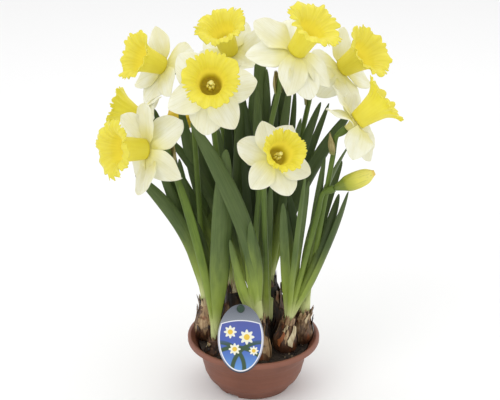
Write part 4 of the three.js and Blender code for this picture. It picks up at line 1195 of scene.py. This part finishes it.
def bloom_frame(bloom):
    """A flower's base, and its own side, upper and forward directions times its size."""
    base, axis = facing(bloom)
    upper, side = square_to(axis, UP)
    return base, np.stack([-side, upper, axis]) * bloom.size


def petal_half_width(share, width):
    """Narrow at the foot, broad in the middle, drawn in along both sides to a point."""
    swell = 0.22 + 0.78 * np.sin(np.minimum(share / 0.5, 1) * np.pi / 2)
    to_tip = np.maximum((share - 0.4) / 0.6, 0)
    return np.maximum(width / 2 * swell * (1 - to_tip ** 2) ** 0.7, 0.25)


def petal_grid(angle, sweep, roll, outer, seed, length):
    """Out along the petal's angle, level to the trumpet's foot and then swept forward, and rolled
    about its own length; cupped across, curled to the tip, with a midrib and a few soft creases
    that run its length, and edges that wave."""
    turn = np.radians(angle)
    sweep = np.radians(sweep)
    slope = np.cos(sweep)
    width = OUTER_PETAL_WIDTH if outer else INNER_PETAL_WIDTH
    share = bunched(PETAL_ROWS, 1.5)[:, None]
    step = np.linspace(-1, 1, PETAL_COLUMNS)[None, :]
    reach = PETAL_ROOT + (length - PETAL_ROOT) * share
    beyond = np.maximum(reach - PETAL_FLAT, 0)
    half = petal_half_width(share, width)
    rolled = np.radians(roll) * smoothstep(share, ROLL_START, ROLL_END)
    across = half * step * np.cos(rolled)
    raised = half * step * np.sin(rolled)
    out = np.minimum(reach, PETAL_FLAT) + beyond * slope - raised * np.sin(sweep)
    curl = 5 * (chance(seed) - 0.6)
    twist = 0.35 * (chance(seed + 31) - 0.5)
    cup = (-0.1 if outer else 0.1) * half * np.abs(step) ** 1.5 + twist * across * share
    middle = np.sin(np.pi * share)
    crease = -0.9 * np.exp(-(step / 0.09) ** 2) * middle
    for k in range(CREASES):
        place = 1.7 * chance(seed + 40 + k) - 0.85
        deep = 1.6 * chance(seed + 50 + k) - 0.8
        crease = crease + deep * np.exp(-((step - place - 0.15 * share) / 0.13) ** 2) * middle
    phase = 2 * np.pi * chance(seed + 3)
    edge = np.abs(step) ** 2.2 * smoothstep(share, 0.15, 0.6)
    wave = edge * (1.5 * np.sin(6 * share + phase + 1.7 * step) + 0.7 * np.sin(15 * share - phase + 2 * step))
    soft = smoothstep(share, 0, 0.12)
    height = (OUTER_LAYER if outer else INNER_LAYER) + beyond * np.sin(sweep) + curl * share ** 3
    height = height + (cup + crease + wave + raised * slope) * soft
    grid = np.stack([out * np.cos(turn) - across * np.sin(turn),
                     out * np.sin(turn) + across * np.cos(turn), height], axis=-1)
    return grid, half * step, share


def make_petals(name, number):
    """Six petals, outer and inner by turns, on the flower's narrow neck."""
    bloom = BLOOMS[name]
    frame = bloom_frame(bloom)
    skin = Skin()
    for k, (angle, sweep, *roll) in enumerate(bloom.petals):
        seed = number * 17 + k
        length = PETAL_LENGTH * LONG_PETALS.get(name, 1)
        grid, across, share = petal_grid(angle, sweep, sum(roll), k % 2 == 0, seed, length)
        form = thicken(grid, PETAL_THICKNESS * (1 - 0.5 * share))
        skin.add(form, notes(across, share, chance(seed)), grid, frame)
    height = np.linspace(-NECK_LENGTH, INNER_LAYER + 0.6, NECK_ROWS)
    turn = circle(NECK_SIDES)
    radius = spline(height, NECK_STATIONS, NECK_RADII)[:, None] * (1 + 0.05 * np.cos(6 * turn))
    rings = place_ring(height[:, None] * UP, radius, NECK_SIDES)
    along = np.linspace(0, 0.1, NECK_ROWS)[:, None]
    skin.add(tube(rings), notes(3 * np.sin(turn)[None, :], along, 0.5), rings, frame)
    skin.piece(f"petals_{name}_ring", finishes["petal"], [f"petals_{name}"])


def rim_notches(turn, rng):
    """How far the rim is cut in at each turn: uneven teeth, with a sharp notch between each two
    that falls away on both sides by the fifth power, and a finer saw; and which way each curls."""
    phases = rng.uniform(0, 2 * np.pi, 2)
    warped = TRUMPET_TEETH * turn / (2 * np.pi) + 0.9 * np.sin(3 * turn + phases[0]) + 0.5 * np.sin(
        5 * turn + phases[1])
    depth = rng.uniform(1.8, 5, TRUMPET_TEETH)
    depth[rng.choice(TRUMPET_TEETH, DEEP_TEETH, replace=False)] = 8
    lean = rng.uniform(-1, 1, TRUMPET_TEETH)
    k = np.floor(warped).astype(int) % TRUMPET_TEETH
    part = warped % 1
    notch = depth[k] * (1 - part) ** 5 + depth[(k + 1) % TRUMPET_TEETH] * part ** 5
    saw = 0.7 * np.abs(np.sin(3 * np.pi * part + lean[k]))
    return notch + saw, lean[k] * np.sin(np.pi * part)


def make_trumpet(name, number):
    """A tube that flares to its mouth: radius and height are splines of the way up its wall, part
    flat flare and part funnel. Towards the rim, pleats and slower waves bend it, and teeth cut and
    curl its edge. Inside stand a style and six stamens."""
    frame = bloom_frame(BLOOMS[name])
    opened, rolled, mouth, long = TRUMPETS[name]
    skin = Skin()
    rng = np.random.default_rng(number)
    turn = circle(TRUMPET_SIDES)[None, :]
    phases = rng.uniform(0, 2 * np.pi, 6)
    cut, lean = rim_notches(turn, rng)
    bent = turn + 0.12 * np.sin(2 * turn + phases[0]) + 0.06 * np.sin(5 * turn + phases[1])
    pleats = np.sin(TRUMPET_PLEATS * bent + phases[2])
    slopes = np.cos(TRUMPET_PLEATS * bent + phases[2] + 0.5)
    slow = np.sin(3 * turn + phases[3])
    lobes = np.sin(7 * bent + phases[4])

    def flare(way, flat, funnel):
        """Part flat flare and part funnel."""
        return opened * spline(way, FLARE_STATIONS, flat) + (1 - opened) * spline(way, FLARE_STATIONS, funnel)

    def wall(share, inset, lift):
        """One side of the wall, moved in and up."""
        way = share * (1 - cut / TRUMPET_PATH * smoothstep(share, 0.72, 1))
        radius = flare(way, FLAT_RADII, FUNNEL_RADII) * (1 + (mouth - 1) * smoothstep(way, 0.2, 1))
        height = flare(way, FLAT_HEIGHTS, FUNNEL_HEIGHTS) * (1 + (long - 1) * smoothstep(way, 0, 0.6))
        weight = smoothstep(way, 0.45, 1)
        edge = smoothstep(share, 0.8, 1)
        radius = radius * (1 + 0.02 * np.cos(6 * turn) * way * (1 - weight))
        radius = radius + weight * (0.9 * slopes + 0.7 * lobes + 0.5 * slow) + 0.7 * edge * lean - inset
        height = height - rolled * smoothstep(way, 0.84, 1)
        height = height + weight * (1.3 * pleats + 1.1 * lobes + 1.2 * slow) + 1.7 * edge * lean + lift
        return polar(radius, turn, height)

    share = bunched(TRUMPET_ROWS, 1.25)[:, None]
    outside = wall(share, 0, GAP)
    inside = wall(share[::-1], 0.8 * TRUMPET_WALL, GAP + 0.6 * TRUMPET_WALL)
    inside[-1, :, 2] = GAP + TRUMPET_WALL
    rings = np.concatenate([outside, inside])
    along = np.concatenate([share, share[::-1]])
    inner = np.concatenate([0 * share, 0 * share + 1])
    skin.add(tube(rings), notes(inner + 0 * turn, along, 0), rings, frame)
    for k in range(STAMENS + 1):
        add_stamen(skin, frame, k, rng)
    skin.piece(f"trumpet_{name}_frill", finishes["trumpet"], [f"trumpet_{name}"])


def add_stamen(skin, frame, k, rng):
    """A thin rod from the trumpet's floor: the last one is the style, in the middle, with a knobbed
    end, and the others lean round it, each with a long anther."""
    share = np.linspace(0, 1, STAMEN_ROWS)
    if k == STAMENS:
        foot, top = np.array([0, 0, 0.8]), np.array([0.6, 0.4, STYLE_LENGTH])
        radius = 1.2 + 1.3 * smoothstep(share, 0.86, 0.95)
    else:
        around = polar(1, 2 * np.pi * k / STAMENS + 0.3, 0)
        foot = around * 4.2 + UP * 0.8
        top = around * 3.1 + UP * (STYLE_LENGTH * rng.uniform(0.62, 0.74))
        radius = 0.6 + 0.8 * smoothstep(share, 0.45, 0.55) * (1 - smoothstep(share, 0.93, 1))
    path = foot + (top - foot) * share[:, None]
    rings = place_ring(path, radius, STAMEN_SIDES)
    along = 0.3 + 0.5 * share[:, None]
    tone = 0.9 * smoothstep(share, 0.4, 0.6)[:, None]
    skin.add(tube(rings), notes(0 * rings[..., 0], along, tone), rings, frame)


def make_spathe(name, number):
    """A dry sheath rolled part way round the stem's bend: an arc at each height, creased, that
    narrows and drifts back to a torn point."""
    bloom = BLOOMS[name]
    start, _, _, rise, axis = stem_bend(bloom, bulb_root(bloom.bulb))
    back, side = square_to(rise, -axis)
    share, step = steps(SPATHE_ROWS, SPATHE_COLUMNS)
    uneven = chance(np.arange(SPATHE_COLUMNS) // 2 + number * 5)[None, :]
    torn = share * (1 - 0.1 * uneven * smoothstep(share, 0.6, 1))
    radius = spline(torn.ravel(), SPATHE_STATIONS, SPATHE_RADII).reshape(torn.shape)
    creased = radius + 0.3 * np.cos(step * 14 + number) * smoothstep(share, 0.1, 0.4)
    turn = np.radians(SPATHE_WRAP / 2) * step * (1 - 0.3 * smoothstep(share, 0.5, 1))
    middle = start + rise * (SPATHE_LENGTH * torn)[..., None] + back * (SPATHE_DRIFT * torn ** 2)[..., None]
    grid = middle + creased[..., None] * (np.cos(turn)[..., None] * back + np.sin(turn)[..., None] * side)
    skin = Skin()
    skin.add(thicken(grid, SPATHE_THICKNESS), notes(step * 8, share, chance(number)))
    skin.piece(f"spathe_{name}_paper", finishes["spathe"], [f"spathe_{name}"])


def make_bud(name, node, bloom, length, radius, open_tip, tone):
    """A spindle of three wrapped petals: round the axis each petal's edge steps over the next one
    by a saw wave that winds up the bud."""
    share = np.linspace(-1, 0.99, BUD_ROWS)
    height = share * np.where(share < 0, NECK_LENGTH, length)
    turn = circle(BUD_SIDES)[None, :]
    wind = (turn * 3 / (2 * np.pi) + 0.55 * np.maximum(share, 0)[:, None]) % 1
    body = smoothstep(share, -0.4, 0.1)[:, None]
    swell = spline(share, BUD_STATIONS, BUD_WIDTHS)[:, None]
    ridge = 0.1 * (smoothstep(wind, 0, 0.1) - wind) * body
    keel = 0.03 * np.cos(3 * turn + 2 * share[:, None]) * body
    flare = open_tip * smoothstep(share, 0.5, 1)[:, None] * (0.5 + 0.5 * np.cos(3 * turn))
    rings = place_ring(height[:, None] * UP, radius * (swell * (1 + ridge + keel) + flare), BUD_SIDES)
    skin = Skin()
    along = (share[:, None] + 1) / 2
    skin.add(tube(rings), notes(wind, along, tone), rings, bloom_frame(bloom))
    skin.piece(name, finishes["bud"], [node])


# The label's own directions: across, up along it, and out of its front
LABEL_WAYS = np.array([[1, 0, 0], [0, np.sin(LABEL_LEAN), np.cos(LABEL_LEAN)],
                       [0, -np.cos(LABEL_LEAN), np.sin(LABEL_LEAN)]])
PEG_PLACE = LABEL_CENTRE + LABEL_HOLE_HEIGHT * LABEL_WAYS[1]


def make_label():
    """An oval plate with a hole: each ray from the hole's middle runs from the hole's edge to where
    it meets the oval. The plate bows back a little, and its edges are rounded."""
    turn = circle(LABEL_SIDES)
    x, y = np.cos(turn), np.sin(turn)
    a, b = LABEL_WIDTH / 2, LABEL_HEIGHT / 2
    square = (x / a) ** 2 + (y / b) ** 2
    half = LABEL_HOLE_HEIGHT * y / b ** 2
    reach = (-half + np.sqrt(half ** 2 - square * ((LABEL_HOLE_HEIGHT / b) ** 2 - 1))) / square
    share = np.concatenate([[0], np.linspace(0.01, 0.99, LABEL_ROWS), [1]])
    distance = LABEL_HOLE_RADIUS + (reach - LABEL_HOLE_RADIUS) * share[:, None]
    flat_x = distance * x
    flat_y = LABEL_HOLE_HEIGHT + distance * y
    bow = -0.7 * (flat_x / a) ** 2
    rounded = LABEL_THICKNESS / 2 * np.where((share == 0) | (share == 1), 0.5, 1)[:, None]
    front = np.stack([flat_x, flat_y, bow + rounded], axis=-1)
    back = np.stack([flat_x, flat_y, bow - rounded], axis=-1)
    rings = np.concatenate([front, back[::-1]])
    index = numbered(rings)
    down = np.roll(index, -1, axis=0)
    quads = np.stack([index, np.roll(index, -1, axis=1), np.roll(down, -1, axis=1), down], axis=-1)
    points = LABEL_CENTRE + rings.reshape(-1, 3) @ LABEL_WAYS
    skin = Skin()
    skin.add((points, quads.reshape(-1, 4), np.empty((0, 3), int)), rings, rings)
    skin.piece("plant_label", label_finish(), ["label"], crease=50)


def make_stake():
    """A round rod up behind the label, and a peg through its hole with a domed head."""
    out = LABEL_WAYS[2]
    top = PEG_PLACE - out * (STAKE_RADIUS + STAKE_CLEARANCE)
    share = np.array([0, 0.015, 0.03, 0.06, 0.2, 0.5, 0.8, 0.96, 0.98, 0.995, 1])
    radius = STAKE_RADIUS * np.array([0.2, 0.45, 0.65, 1, 1, 1, 1, 1, 0.92, 0.7, 0.4])
    path = STAKE_FOOT + (top - STAKE_FOOT) * share[:, None]
    skin = Skin()
    rod = place_ring(path, radius, STAKE_SIDES)
    skin.add(tube(rod), rod)
    front = LABEL_THICKNESS / 2 + GAP
    peg_radius = LABEL_HOLE_RADIUS - 0.5
    outs = [-STAKE_RADIUS - 1.2, front, front, front + 0.3, front + 1.0, front + 1.5, front + 1.8]
    radii = [peg_radius, peg_radius, PEG_HEAD_RADIUS - 0.3, PEG_HEAD_RADIUS, PEG_HEAD_RADIUS - 0.3, 3.4, 1.6]
    path = PEG_PLACE + out * np.array(outs)[:, None]
    peg = place_ring(path, radii, PEG_SIDES, np.repeat(out[None], len(outs), axis=0))
    skin.add(tube(peg), peg)
    skin.piece("green_stake", green_plastic_finish(), ["label_stake"], crease=40)


finishes = {
    "bulb": bulb_finish(),
    "leaf": leaf_finish(),
    "petal": petal_finish(),
    "trumpet": trumpet_finish(),
    "bud": bud_finish(),
    "spathe": paper_finish(),
}

make_bowl()
make_soil()
for number, name in enumerate(BULBS):
    make_bulb(name, 20 + number)
    make_tuft(name, 60 + number)
for number, name in enumerate(BLOOMS, start=1):
    make_petals(name, number)
    make_trumpet(name, number)
    make_spathe(name, number)
make_bud("opening_petals", "opening_bloom", OPENING, OPENING_LENGTH, OPENING_RADIUS, 0.25, 0.9)
make_bud("bud_petals", "closed_bud", BUD, BUD_LENGTH, BUD_RADIUS, 0, 0.5)
make_label()
make_stake()


# The pale floor and the lights

def make_floor():
    """A wide flat square of matt white."""
    corners = np.array([(-6, -6, 0), (6, -6, 0), (6, 6, 0), (-6, 6, 0)], float)
    floor = meshed("floor", corners, [(0, 1, 2, 3)])
    white = Finish("white_floor", Roughness=0.9)
    white.paint("Base Color", (0.9, 0.9, 0.9, 1))
    floor.data.materials.append(white.material)


def make_light(name, place, size, power):
    """A square lamp that looks at the middle of the plant."""
    lamp = bpy.data.lights.new(name, "AREA")
    lamp.size = size
    lamp.energy = power
    made = linked(name, lamp)
    made.location = place
    way = np.array([0, 0, 0.26]) - np.array(place)
    made.rotation_euler = (np.arctan2(np.hypot(way[0], way[1]), -way[2]), 0, np.arctan2(-way[0], way[1]))


make_floor()
make_light("key_light", (-1.3, -1.5, 1.9), 1.4, 12)
make_light("fill_light", (1.6, -1.0, 1.2), 1.6, 4)
make_light("top_light", (0.2, 0.8, 2.2), 1.5, 8)
world = bpy.data.worlds.new("studio")
world.use_nodes = True
world.node_tree.nodes["Background"].inputs["Color"].default_value = (1, 1, 1, 1)
world.node_tree.nodes["Background"].inputs["Strength"].default_value = 0.95
bpy.context.scene.world = world
